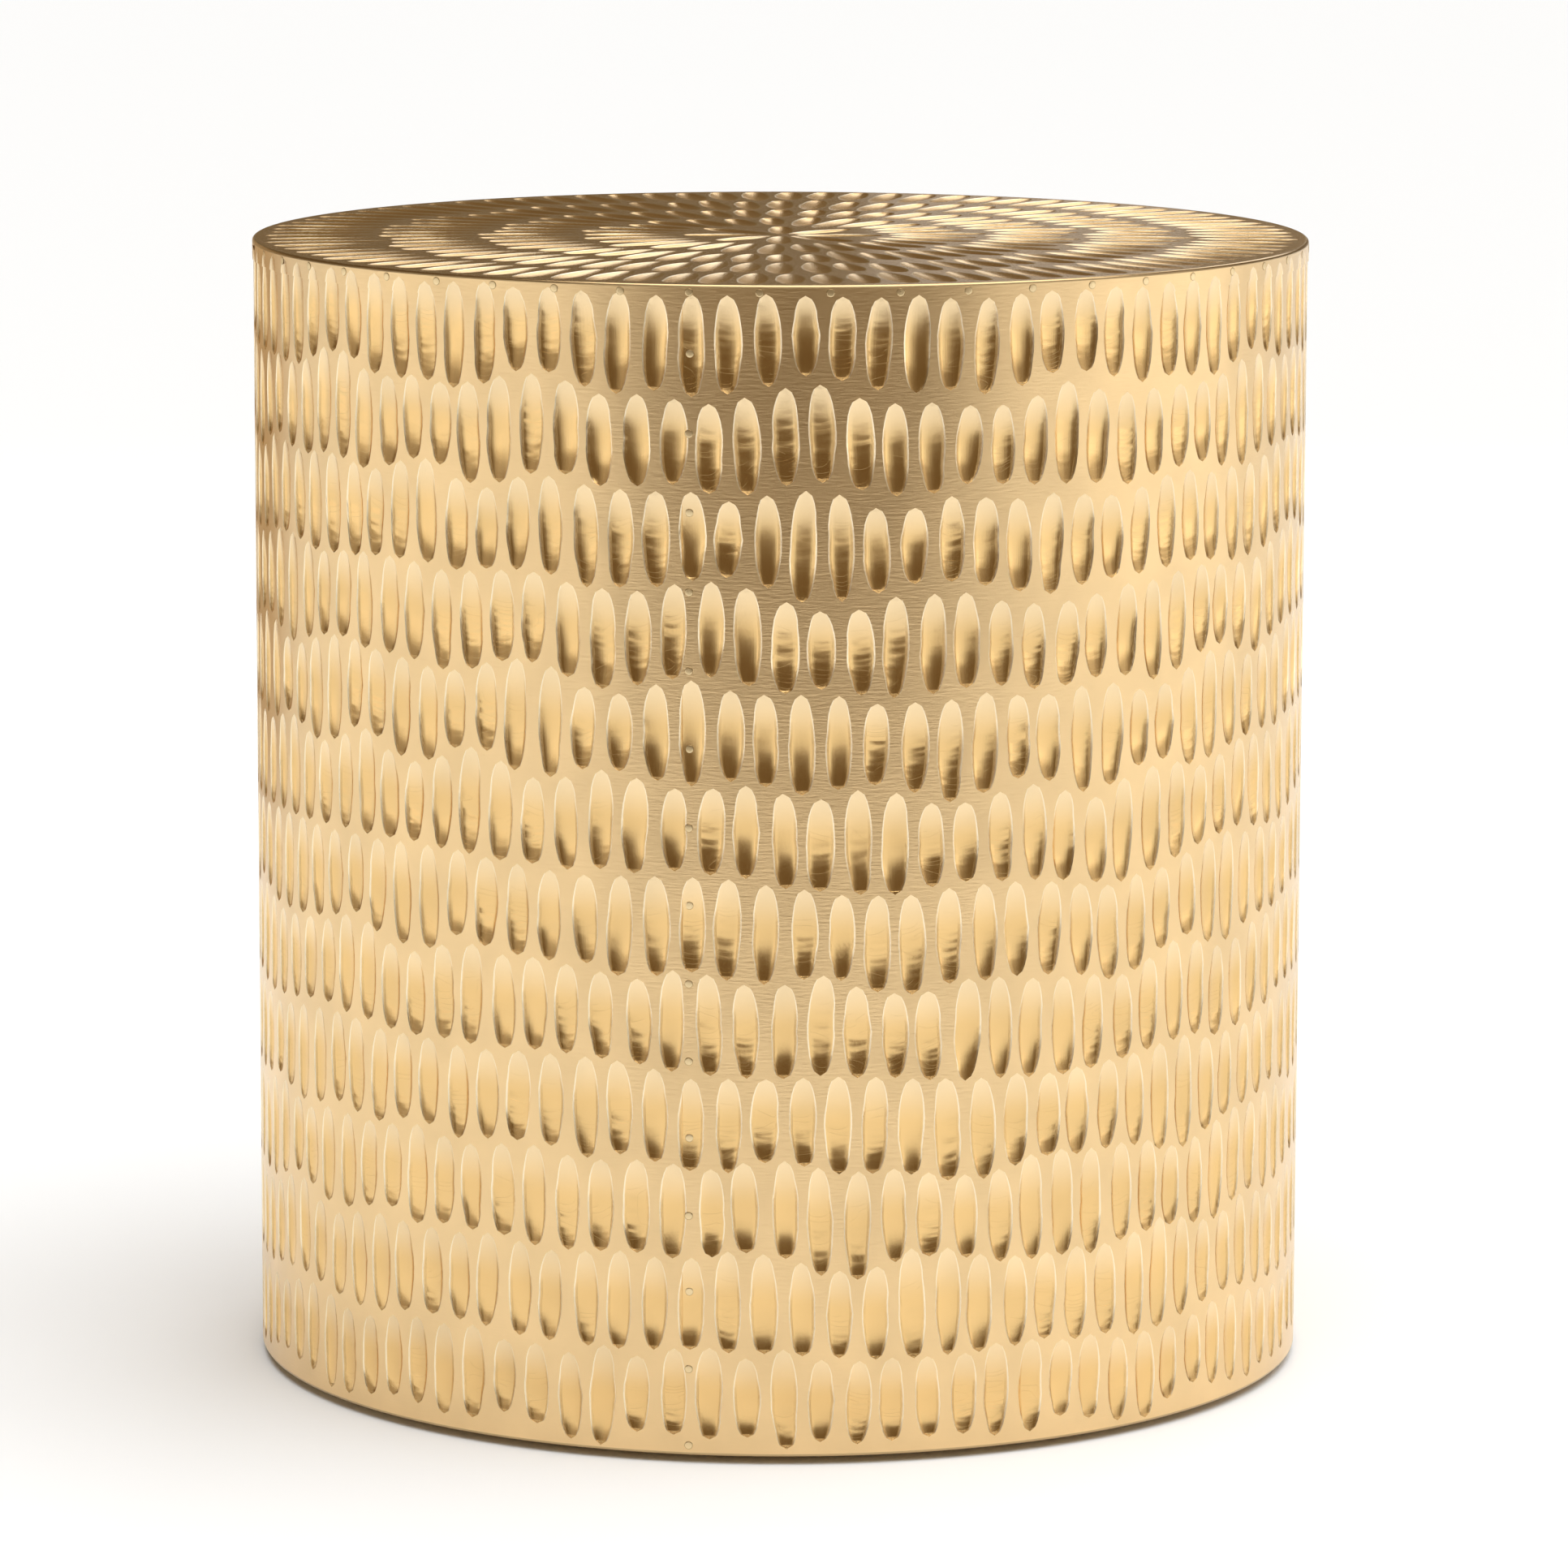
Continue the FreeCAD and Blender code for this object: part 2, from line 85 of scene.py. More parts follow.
# Softboxes: place, the point that they face, width, height in metres, and brightness
SOFTBOXES = {
    "key": ((1.05, 2.8, 2.3), (1.05, 0, 1.8), 2.1, 1.7, 1.62),
    "right": ((3.0, -0.1, 1.2), (0, -0.1, 1.2), 2.6, 2.4, 0.55),
    "left": ((-2.4, -0.4, 1.0), (0, -0.4, 1.0), 2.2, 2.0, 0.25),
    "front left": ((-2.3, -2.1, 0.9), (0, 0, 0.9), 1.5, 1.8, 0.25),
    "front right": ((2.3, -2.1, 0.9), (0, 0, 0.9), 1.5, 1.8, 0.22),
    "back strip": ((0.2, 3.0, 0.6), (0.2, 0, 0.6), 0.26, 0.32, 0.4),
    "front top": ((0, -2.6, 2.1), (0, 0, 0.4), 2.0, 0.8, 0.95),
}

# Dark cards that the brass mirrors: place, width, height in metres, share of the width that fades out at
# each side, and brightness as a share of the room's
CARDS = {
    "front": ((0.14, -1.75), 4.5, 1.3, 0.41, 0.92),
    "back left": ((-0.8, 1.15), 1.3, 0.8, 0.4, 2.8),
}

# Light from above: how wide it spreads, its place in metres and its turn
OVERHEAD_SPREAD = math.radians(75)
OVERHEAD_PLACE = (0, 0, 3)
OVERHEAD_TURN = (math.radians(8), math.radians(10), 0)

# What is drawn for each hollow, as attributes of its point
DRAWN = {"turn": "FLOAT", "reach": "FLOAT", "breadth": "FLOAT", "sink": "FLOAT", "hollow_seed": "FLOAT",
         "shape": "INT", "band": "INT"}

# Ranges that gouge marks are drawn from: factor on the tip's point, roundness of the heel, how abruptly the
# heel stops, and bow to one side
TIP_FACTOR = (0.9, 1.1)
HEEL_POWER = (0.68, 1.0)
HEEL_STOPS = (2.3, 2.5, 2.7, 3.4)
MARK_BOW = (-0.03, 0.03)

# Bumps in a gouge mark's depth and in each of its edges: how many, and ranges of place, breadth and height
CHATTER = (4, (0.3, 0.85), (0.045, 0.08), (-0.065, 0.065))
DENTS = (3, (0.15, 0.9), (0.06, 0.14), (-0.1, 0.03))

# Mesh rows of a gouge mark lie evenly by this share and crowd to its ends by the rest, and the power
# spreads its columns
EVEN_ROWS = 0.4
COLUMN_POWER = 0.75

# How far a hollow may be shorter, shallower and deeper, as multiples of the spread
SHORTER = 1.4
SHALLOWER = 2.5
DEEPER = 2

# Slow rise and fall of the rows: waves in one turn, share of the height, and phase
SWAYS = ((2, 1.0, 4.04), (3, 0.5, 5.24))

# Waves in which a line between two rows strays, and the fewest and most of each in one turn
UNREST_WAVES = 3
UNREST_TURNS = (11, 27)

# Where even and odd rows start, in columns, and the shortest hollow of the last row, as a share
STAGGER = (0.25, 0.75)
STUNTED = 0.8

# Flat brass from a hollow to a bend, and from a hollow's end to the border of its row
EDGE_CLEAR = 0.7 * MM
BAND_GAP = 0.4 * MM

# How far the heels of a ring differ, in dips: at the rim and in the rings inside
RIM_UNEVEN = 0.5
RING_UNEVEN = 2.0

# How loosely hollows lie on the top, as a share of the side's
TOP_LOOSE = 0.2

# Distances that count as none when meshes are cut, matched, divided by and welded
CUT = 1e-7
TOUCHING = 1e-6
TINY = 1e-9
WELD = 0.003 * MM
FIELD_WELD = 0.002 * MM
NEAR_RIM = 0.1 * MM

# Angle from which a fold stays sharp, and upward share of a normal from which a face counts as level
FOLD = math.radians(35)
LEVEL = 0.7

# Hidden faces: how far a side sheet's back steps out under the lip, its gap to the lip, and by how much
# the top sheet is thinner than the backing says
UNDER_LIP = 0.45 * MM
LIP_GAP = 0.03 * MM
TOP_LIFT = 0.1 * MM

# A pin head's outline in head radii and rises, where its shank starts, its sides, and how far outside the
# rim it starts on its way in
PIN_HEAD = ((0.7, 0.97), (0.86, 0.8), (0.96, 0.4), (1, -0.1), (0.9, -0.6))
SHANK_START = -0.8
PIN_SIDES = 14
PIN_START = 10 * MM

# Facets of a half round wall and of the round board
WALL_STEPS = 180
BOARD_STEPS = 240


def linear(code):
    """The linear colour of an sRGB hex code."""
    parts = [int(code[i:i + 2], 16) / 255 for i in (1, 3, 5)]
    return tuple(c / 12.92 if c <= 0.04045 else ((c + 0.055) / 1.055) ** 2.4 for c in parts)


def length(name, description, default):
    """A size in metres that a user would change."""
    return bpy.props.FloatProperty(name=name, description=description, default=default, unit="LENGTH",
                                   precision=5)


def angle(name, description, degrees):
    """An angle, given in degrees."""
    return bpy.props.FloatProperty(name=name, description=description, default=math.radians(degrees),
                                   unit="ROTATION")


def count(name, description, default):
    """A whole number of like things."""
    return bpy.props.IntProperty(name=name, description=description, default=default, min=1)


def share(name, description, default):
    """A plain number, such as a share of a size."""
    return bpy.props.FloatProperty(name=name, description=description, default=default, precision=4)


def colour(name, description, code):
    """A colour from its hex code."""
    return bpy.props.FloatVectorProperty(name=name, description=description, default=linear(code), size=3,
                                         subtype="COLOR", min=0, max=1)


class DrumSheets(bpy.types.PropertyGroup):
    """Sizes of the brass sheets: the outer ones come from the frame."""
    rim_radius: length("Rim radius", "Outside of the turned-down lip", TOP_HIGH.x)
    table_top: length("Table top", "Height of the top sheet", TOP_HIGH.z)
    lip_low: length("Lip edge", "Height of the lower edge of the lip", TOP_LOW.z)
    side_radius: length("Side radius", "Outside of the side sheets", -LEFT_LOW.x)
    side_low: length("Hem", "Height of the folded hem's underside", LEFT_LOW.z)
    side_high: length("Side top", "Height of the side sheets' upper edge", LEFT_HIGH.z)
    thickness: length("Thickness", "Thickness of the sheet brass", 0.4 * MM)
    bend: length("Bend", "Outer radius of the rim and of the hem's fold", 1.2 * MM)
    hem_width: length("Hem width", "How far the hem reaches inwards", 14.4 * MM)
    backing: length("Backing", "How far the hidden back of a beaten sheet lies below its face", 2.2 * MM)
    seam: angle("Front seam", "Where the front lap seam stands, from +X", -100)
    lap_rise: length("Lap rise", "How far the upper sheet's edge stands off at a lap", 0.3 * MM)
    lap_ease: length("Lap ease", "How far from the edge the lap's rise dies out", 9 * MM)


class DrumHollows(bpy.types.PropertyGroup):
    """The gouge marks that cover the sheets."""
    rows: count("Rows", "Rows of hollows on the side", 12)
    columns: count("Columns", "Hollows in each row", 94)
    first_tip: length("First tip", "Gap from the table top to the tips of the first row", 2.6 * MM)
    last_heel: length("Last heel", "Height of the heels of the last row", 8 * MM)
    wave: length("Wave", "How far the rows rise and fall round the drum", 6.5 * MM)
    width: length("Width", "Width of a hollow", 10.7 * MM)
    top_width: length("Top width", "Width of a hollow at the middle of its ring on the top", 12.2 * MM)
    depth: length("Depth", "Depth of a hollow on the side", 1.6 * MM)
    top_depth: length("Top depth", "Depth of a hollow on the top", 1.5 * MM)
    fill: share("Fill", "Length of a hollow as a share of its row", 1.02)
    spread: share("Spread", "Spread of the hollows' widths and lengths", 0.05)
    jitter: length("Jitter", "How far a hollow strays from its place", 0.7 * MM)
    unrest: length("Unrest", "How far the line between two rows strays, up and down", 1.7 * MM)
    tilt: angle("Tilt", "How far a hollow leans", 2.2)
    heel_lean: share("Heel lean", "How much steeper a hollow is at its heel than at its tip", 0.2)
    side_trough: share("Side trough", "How square the side hollows' cross-section is: 2 is a parabola", 3.0)
    top_trough: share("Top trough", "How square the top hollows' cross-section is", 2.0)
    side_tip: share("Side tip", "How pointed the hollows' upper ends are: 1 is an ellipse", 0.88)
    top_tip: share("Top tip", "How pointed the hollows' ends are towards the centre of the top", 1.4)
    rings: count("Rings", "Rings of hollows on the top", 5)
    ring_step: length("Ring step", "From one ring to the next", 40.8 * MM)
    ring_start: length("Ring start", "Bare spot at the centre", 3.5 * MM)
    ring_gap: length("Ring gap", "From a heel to the tip that meets it", 0.9 * MM)
    ring_dip: length("Ring dip", "How far a tip reaches down between two heels", 5 * MM)
    inner_count: count("Inner count", "Hollows in the innermost ring", 8)
    arc_step: length("Arc step", "From one hollow of a ring to the next", 13.9 * MM)
    cells_across: count("Cells across", "Mesh cells across a hollow", 6)
    cells_along: count("Cells along", "Mesh cells along a hollow", 12)
    shapes: count("Shapes", "Hollow shapes to draw from", 16)
    seed: count("Seed", "Seed of everything random", 7)


class DrumPins(bpy.types.PropertyGroup):
    """The brass pins round the rim and down the seams."""
    rim_count: count("Rim pins", "Pins round the rim", 50)
    seam_count: count("Seam pins", "Pins down each seam", 15)
    rim_drop: length("Rim drop", "From the table top to the rim pins", 3.0 * MM)
    seam_low: length("Lowest pin", "Height of the lowest seam pin", 7.1 * MM)
    seam_high: length("Highest pin", "Height of the highest seam pin", 424 * MM)
    seam_inset: length("Inset", "From the lap's edge to its pins", 2.5 * MM)
    head_radius: length("Head radius", "Radius of a pin head", 1.6 * MM)
    head_rise: length("Head rise", "How far a pin head stands proud", 0.16 * MM)
    shank_radius: length("Shank radius", "Radius of a pin's shank", 0.6 * MM)
    shank_length: length("Shank length", "Length of a pin's shank", 1.2 * MM)


class DrumColours(bpy.types.PropertyGroup):
    """Colours of the finishes."""
    ground: colour("Brass ground", "Satin brass between the hollows", "#EDCD9A")
    hollow: colour("Brass hollows", "Polished brass in the hollows", "#EAC486")
    # Painted highlight: the pale colour that is painted on the edges and tips of the hollows
    edge: colour("Brass edges", "Edges and tips of the hollows, rubbed bright", "#FBEAC9")
    pin: colour("Pin brass", "Brass of the pin heads", "#E8D0A2")
    # Painted shade: the dark colour that is painted on a pin head's edge and under it, where the gap to the
    # sheet lies in shade
    painted_head_shade: colour("Grime", "Old polish in the joint round a pin head", "#8A6C3F")
    birch: colour("Birch", "Sanded birch plywood", "#CDB083")
    birch_dark: colour("Birch grain", "Grain and cross plies of the plywood", "#A98554")
    pine: colour("Pine", "Planed pine", "#D6B07A")
    pine_dark: colour("Pine grain", "Late wood of the pine", "#A9763F")
    zinc: colour("Zinc", "Zinc plate on the screws", "#C3C5C8")
    nylon: colour("Nylon", "Moulded nylon of the glides", "#2B2725")
    floor: colour("Floor", "Pale studio floor", "#F5FAFF")
    room: colour("Room", "The dim room above the studio walls", "#705C3E")
    walls: colour("Walls", "The pale foot of the studio walls", "#D6CEBF")


class DrumStudio(bpy.types.PropertyGroup):
    """Camera and light."""
    camera_distance: length("Camera distance", "From the drum's axis to the camera", 2985.6 * MM)
    camera_height: length("Camera height", "Height of the camera", 714.8 * MM)
    pitch: angle("Pitch", "How far the camera looks down", 9.252)
    yaw: angle("Yaw", "How far the camera looks to the right", 0.036)
    roll: angle("Roll", "How far the camera leans", 0.136)
    lens: bpy.props.FloatProperty(name="Lens", description="Focal length", default=172.3, unit="CAMERA")
    sensor: bpy.props.FloatProperty(name="Sensor", description="Sensor width", default=36, unit="CAMERA")
    floor_reach: length("Floor reach", "How far the floor reaches on every side", 16)
    softbox_level: share("Softboxes", "Brightness of the softboxes, as a share of their own", 1.0)
    overhead_level: share("Overhead", "Strength of the light from above", 3.1)


# Nodes

def fill_inputs(tree, node, inputs):
    """Fills a node's inputs with values or links. A node stands for its first output."""
    for key, value in inputs.items():
        source = value.outputs[0] if isinstance(value, bpy.types.Node) else value
        if isinstance(source, bpy.types.NodeSocket):
            tree.links.new(source, node.inputs[key])
        else:
            node.inputs[key].default_value = source


def add_node(tree, kind, inputs=None, **settings):
    """Adds a node, sets its properties and fills its inputs."""
    node = tree.nodes.new(kind)
    for name, value in settings.items():
        setattr(node, name, value)
    fill_inputs(tree, node, inputs or {})
    return node


def new_tree(name, inputs):
    """An empty Geometry Nodes tree with named inputs, and the sockets of its input node."""
    tree = bpy.data.node_groups.new(name, "GeometryNodeTree")
    for label, kind in inputs:
        tree.interface.new_socket(label, in_out="INPUT", socket_type=f"NodeSocket{kind}")
    tree.interface.new_socket("Mesh", in_out="OUTPUT", socket_type="NodeSocketGeometry")
    return tree, tree.nodes.new("NodeGroupInput").outputs


def run_tree(tree, seed_mesh, values):
    """The plain mesh that a tree makes from a seed mesh and its named inputs."""
    maker = placed("maker", seed_mesh)
    modifier = maker.modifiers.new("maker", "NODES")
    modifier.node_group = tree
    for item in tree.interface.items_tree:
        if item.in_out == "INPUT" and item.name in values:
            modifier[item.identifier] = values[item.name]
    ready = maker.evaluated_get(bpy.context.evaluated_depsgraph_get())
    mesh = bpy.data.meshes.new_from_object(ready)
    bpy.data.objects.remove(maker)
    bpy.data.meshes.remove(seed_mesh)
    if not mesh.polygons:
        raise RuntimeError(f"{tree.name} made no faces")
    return mesh


# Meshes

def placed(name, data):
    """A new object in the scene."""
    made = bpy.data.objects.new(name, data)
    bpy.context.collection.objects.link(made)
    return made


def to_mesh(bm, name):
    """The mesh of a bmesh, which is freed."""
    mesh = bpy.data.meshes.new(name)
    bm.to_mesh(mesh)
    bm.free()
    return mesh


def read(items, key, size, kind):
    """One value of every item, or a row of them, as an array."""
    values = np.empty(len(items) * size, kind)
    items.foreach_get(key, values)
    return values.reshape(-1, size) if size > 1 else values


# Finishes

def new_material(name):
    """A node material, what adds a node to it, and what fills the inputs of its shader."""
    material = bpy.data.materials.new(name)
    material.use_nodes = True
    tree = material.node_tree
    return material, partial(add_node, tree), partial(fill_inputs, tree, tree.nodes["Principled BSDF"])


def rgba(value):
    """A colour property with full alpha."""
    return (*value, 1.0)


def beaten_brass(colours):
    """Sheet brass beaten over plywood with a gouge: satin ground with fine creases, polished hollows with
    chatter across the stroke and fine lines along it, a painted highlight of paler colour on the hollows'
    edges and tips, and painted shade that darkens the bends."""
    material, add, finish = new_material("beaten brass, satin ground")
    stored = (("zone", "Fac"), ("unrolled", "Vector"), ("hollow_seed", "Fac"), ("hollow", "Vector"))
    zone, place, seed, local = (add("ShaderNodeAttribute", attribute_name=name).outputs[output]
                                for name, output in stored)
    split = add("ShaderNodeSeparateXYZ", {0: local})
    across, along = split.outputs["X"], split.outputs["Y"]
    in_hollow = add("ShaderNodeMath", {0: zone, 1: HOLLOW, 2: 0.5}, operation="COMPARE")

    tarnish = add("ShaderNodeTexNoise", {"Vector": place, "Scale": 1 / (28 * MM), "Detail": 4.0})
    tint = add("ShaderNodeMapRange", {"Value": tarnish, "From Min": 0.3, "From Max": 0.7, "To Min": 0.9})
    base = add("ShaderNodeMix", {0: in_hollow, 6: rgba(colours.ground), 7: rgba(colours.hollow)},
               data_type="RGBA")
    middle = add("ShaderNodeMath", {0: across, 1: 0.5}, operation="PINGPONG")
    # Painted highlight: the outer edges and the upper tips of the hollows are painted paler, for the bright
    # rims and pale tips of their reflections
    edge_highlight = add("ShaderNodeMapRange", {"Value": middle, "From Min": 0.02, "From Max": 0.08,
                                           "To Min": 1.0, "To Max": 0.0}, interpolation_type="SMOOTHSTEP")
    tip_highlight = add("ShaderNodeMapRange", {"Value": along, "From Max": 0.5, "To Min": 0.5, "To Max": 0.0},
                   interpolation_type="SMOOTHSTEP")
    bright = add("ShaderNodeMath", {0: edge_highlight, 1: tip_highlight}, operation="MAXIMUM")
    rubbed = add("ShaderNodeMath", {0: bright, 1: in_hollow}, operation="MULTIPLY")
    highlighted = add("ShaderNodeMix", {0: rubbed, 6: base.outputs[2], 7: rgba(colours.edge)}, data_type="RGBA")
    # Painted shade: the bends of the rim and the hem are painted 30 % darker, to dim the line of light that
    # they reflect; the tint is the random tarnish
    bent = add("ShaderNodeMath", {0: zone, 1: BEND, 2: 0.5}, operation="COMPARE")
    painted_bend_shade = add("ShaderNodeMath", {0: bent, 1: -0.3, 2: tint}, operation="MULTIPLY_ADD")
    tarnish_and_bend_shade = add("ShaderNodeMix", {0: 1.0, 6: highlighted.outputs[2], 7: painted_bend_shade},
               data_type="RGBA", blend_type="MULTIPLY")

    # Chatter lies across the stroke in shallow bows every 2 to 4 mm, mostly in the lower half of some hollows
    aside = add("ShaderNodeMath", {0: across, 1: 0.5}, operation="SUBTRACT")
    bow = add("ShaderNodeMath", {0: aside, 1: aside}, operation="MULTIPLY")
    down = add("ShaderNodeMath", {0: bow, 1: 0.12, 2: along}, operation="MULTIPLY_ADD")
    stroke = add("ShaderNodeCombineXYZ", {0: across, 1: down, 2: seed})
    strokes = (((0.6, 8.0, 90.0), 1.0), ((0.4, 5.0, 70.0), 0.0), ((42.0, 1.6, 40.0), 3.0))
    scaled = ((add("ShaderNodeMapping", {"Vector": stroke, "Scale": scale}), detail)
              for scale, detail in strokes)
    waves, halts, polish = (add("ShaderNodeTexNoise", {"Vector": at, "Scale": 1.0, "Detail": detail})
                            for at, detail in scaled)
    ledges = add("ShaderNodeMath", {0: halts, 1: 0.14}, operation="SNAP")
    chatter = add("ShaderNodeMath", {0: ledges, 1: 0.5, 2: waves}, operation="MULTIPLY_ADD")
    lower = add("ShaderNodeMapRange", {"Value": along, "From Min": 0.15, "From Max": 0.5, "To Min": 0.1},
                interpolation_type="SMOOTHSTEP")
    unlike = add("ShaderNodeTexWhiteNoise", {"W": seed}, noise_dimensions="1D")
    loud = add("ShaderNodeMapRange", {"Value": unlike, "From Min": 0.3})
    facing = add("ShaderNodeNewGeometry")
    upright = add("ShaderNodeSeparateXYZ", {0: facing.outputs["True Normal"]})
    calm = add("ShaderNodeMapRange", {"Value": upright.outputs["Z"], "From Min": 0.5, "From Max": 0.9,
                                      "To Min": 1.0, "To Max": 0.15})
    shaking = loud
    for limit in (calm, lower, in_hollow):
        shaking = add("ShaderNodeMath", {0: shaking, 1: limit}, operation="MULTIPLY")

    # Roughness on the top and on the side, first of the ground and then of the hollows
    satin, polished = (add("ShaderNodeMapRange", {"Value": calm, "From Min": 0.15, "To Min": on_top,
                                                  "To Max": on_side})
                       for on_top, on_side in ((0.18, 0.28), (0.24, 0.18)))
    gloss = add("ShaderNodeMix", {0: in_hollow, 2: satin, 3: polished}, data_type="FLOAT")

    # Creases on the ground run level, about 6 mm long and under 1 mm apart
    level = add("ShaderNodeMapping", {"Vector": place, "Scale": (1 / (6 * MM), 1 / (0.9 * MM), 1.0)})
    creases = add("ShaderNodeTexNoise", {"Vector": level, "Scale": 1.0, "Detail": 3.0})
    grain = add("ShaderNodeTexNoise", {"Vector": place, "Scale": 1 / (0.7 * MM), "Detail": 2.0})
    skin = add("ShaderNodeMath", {0: grain, 1: 0.3, 2: creases}, operation="MULTIPLY_ADD")
    bare = add("ShaderNodeMath", {0: 1.0, 1: in_hollow}, operation="SUBTRACT")

    normal = {}
    for strength, distance, height in ((shaking, 0.35 * MM, chatter), (in_hollow, 0.03 * MM, polish),
                                       (bare, 0.06 * MM, skin)):
        normal["Normal"] = add("ShaderNodeBump", {"Strength": strength, "Distance": distance,
                                                  "Height": height, **normal})
    finish({"Base Color": tarnish_and_bend_shade.outputs[2], "Roughness": gloss, "Metallic": 1.0, **normal})
    return material


def pin_brass(colours):
    """Drawn brass wire with a struck head: unevenly rubbed, with painted shade, a thin dark ring, on the
    head's edge and under it.
    """
    material, add, finish = new_material("pin brass, struck heads")
    place = add("ShaderNodeTexCoord").outputs["Object"]
    rub = add("ShaderNodeTexNoise", {"Vector": place, "Scale": 1 / (0.8 * MM), "Detail": 3.0})
    # Painted shade on the head's edge and under it, where the joint attribute is 1
    joint = add("ShaderNodeAttribute", attribute_name="joint").outputs["Fac"]
    tone = add("ShaderNodeMix", {0: joint, 6: rgba(colours.pin), 7: rgba(colours.painted_head_shade)}, data_type="RGBA")
    gloss = add("ShaderNodeMapRange", {"Value": rub, "To Min": 0.2, "To Max": 0.42})
    finish({"Base Color": tone.outputs[2], "Roughness": gloss, "Metallic": 1.0})
    return material


def birch_plywood(colours):
    """Sanded birch plywood: pale, close grain on the faces and dark and light plies on the edges."""
    material, add, finish = new_material("birch plywood, sanded")
    place = add("ShaderNodeTexCoord").outputs["Object"]
    along = add("ShaderNodeMapping", {"Vector": place, "Scale": (1 / (60 * MM), 1 / (5 * MM), 1 / (5 * MM))})
    grain = add("ShaderNodeTexNoise", {"Vector": along, "Scale": 1.0, "Detail": 6.0, "Roughness": 0.6,
                                       "Distortion": 0.4})
    plies = add("ShaderNodeTexWave", {"Vector": place, "Scale": FULL_TURN / 20 / (3 * MM), "Distortion": 0.6},
                bands_direction="Z")
    upright = add("ShaderNodeSeparateXYZ", {0: add("ShaderNodeNewGeometry").outputs["Normal"]})
    flat = add("ShaderNodeMath", {0: upright.outputs["Z"]}, operation="ABSOLUTE")
    on_face = add("ShaderNodeMath", {0: flat, 1: 0.5}, operation="GREATER_THAN")
    figure = add("ShaderNodeMix", {0: on_face, 2: plies.outputs["Fac"], 3: grain}, data_type="FLOAT")
    tone = add("ShaderNodeMix", {0: figure, 6: rgba(colours.birch_dark), 7: rgba(colours.birch)},
               data_type="RGBA")
    bump = add("ShaderNodeBump", {"Strength": 0.5, "Distance": 0.08 * MM, "Height": grain})
    finish({"Base Color": tone.outputs[2], "Normal": bump, "Roughness": 0.62})
    return material


def planed_pine(colours):
    """Planed pine: straight late-wood lines up the posts, a soft sheen."""
    material, add, finish = new_material("pine, planed")
    place = add("ShaderNodeTexCoord").outputs["Object"]
    up = add("ShaderNodeMapping", {"Vector": place, "Scale": (1 / (4 * MM), 1 / (4 * MM), 1 / (120 * MM))})
    grain = add("ShaderNodeTexNoise", {"Vector": up, "Scale": 1.0, "Detail": 5.0, "Distortion": 0.8})
    tone = add("ShaderNodeMix", {0: grain, 6: rgba(colours.pine_dark), 7: rgba(colours.pine)},
               data_type="RGBA")
    bump = add("ShaderNodeBump", {"Strength": 0.4, "Distance": 0.1 * MM, "Height": grain})
    finish({"Base Color": tone.outputs[2], "Normal": bump, "Roughness": 0.55})
    return material


def zinc_plate(colours):
    """Zinc plate on steel: cool grey metal with a faint cloudy spangle."""
    material, add, finish = new_material("zinc plated steel")
    place = add("ShaderNodeTexCoord").outputs["Object"]
    cloud = add("ShaderNodeTexNoise", {"Vector": place, "Scale": 1 / (1.5 * MM), "Detail": 4.0})
    gloss = add("ShaderNodeMapRange", {"Value": cloud, "To Min": 0.25, "To Max": 0.5})
    finish({"Base Color": rgba(colours.zinc), "Roughness": gloss, "Metallic": 1.0})
    return material


def moulded_nylon(colours):
    """Moulded nylon: near black, with a fine spark-eroded grain."""
    material, add, finish = new_material("nylon, moulded")
    place = add("ShaderNodeTexCoord").outputs["Object"]
    grit = add("ShaderNodeTexNoise", {"Vector": place, "Scale": 1 / (0.4 * MM), "Detail": 2.0})
    bump = add("ShaderNodeBump", {"Strength": 0.5, "Distance": 0.03 * MM, "Height": grit})
    finish({"Base Color": rgba(colours.nylon), "Normal": bump, "Roughness": 0.5, "IOR": 1.53})
    return material


def studio_floor(colours):
    """Matt white paint, plain and even."""
    material, _, finish = new_material("studio floor, matt paint")
    finish({"Base Color": rgba(colours.floor), "Roughness": 0.9})
    return material


def dark_card(name, colours, fade, brightness):
    """Felt on a board that glows as dimly as the room, thinning out to nothing at the sides."""
    material, add, finish = new_material(f"dark felt, {name} card")
    across = add("ShaderNodeAttribute", attribute_name="across").outputs["Fac"]
    off = add("ShaderNodeMath", {0: across}, operation="ABSOLUTE")
    cover = add("ShaderNodeMapRange", {"Value": off, "From Min": 1 - 2 * fade, "To Min": 1.0, "To Max": 0.0},
                interpolation_type="SMOOTHSTEP")
    finish({"Alpha": cover, "Base Color": (0, 0, 0, 1), "Emission Color": rgba(colours.room),
            "Emission Strength": brightness})
    return material


def studio_walls(colours):
    """A world that is pale at the foot of the walls and a dim warm room above them."""
    world = bpy.data.worlds.new("studio walls")
    world.use_nodes = True
    add = partial(add_node, world.node_tree)
    split = add("ShaderNodeSeparateXYZ", {0: add("ShaderNodeTexCoord").outputs["Generated"]})
    above = add("ShaderNodeMapRange", {"Value": split.outputs["Z"], "From Max": 0.04},
                interpolation_type="SMOOTHSTEP")
    tone = add("ShaderNodeMix", {0: above, 6: rgba(colours.walls), 7: rgba(colours.room)}, data_type="RGBA")
    fill_inputs(world.node_tree, world.node_tree.nodes["Background"], {"Color": tone.outputs[2]})
    return world


# Beaten sheets

def draw_bumps(rng, number, *ranges):
    """Draws bumps along a line: the place, breadth and height of each."""
    return [[rng.uniform(*ends) for ends in ranges] for _ in range(number)]


def swell(bumps, v):
    """By what factor bumps along a line change a size at one place on it."""
    return 1 + sum(height * math.exp(-((v - place) / breadth) ** 2) for place, breadth, height in bumps)


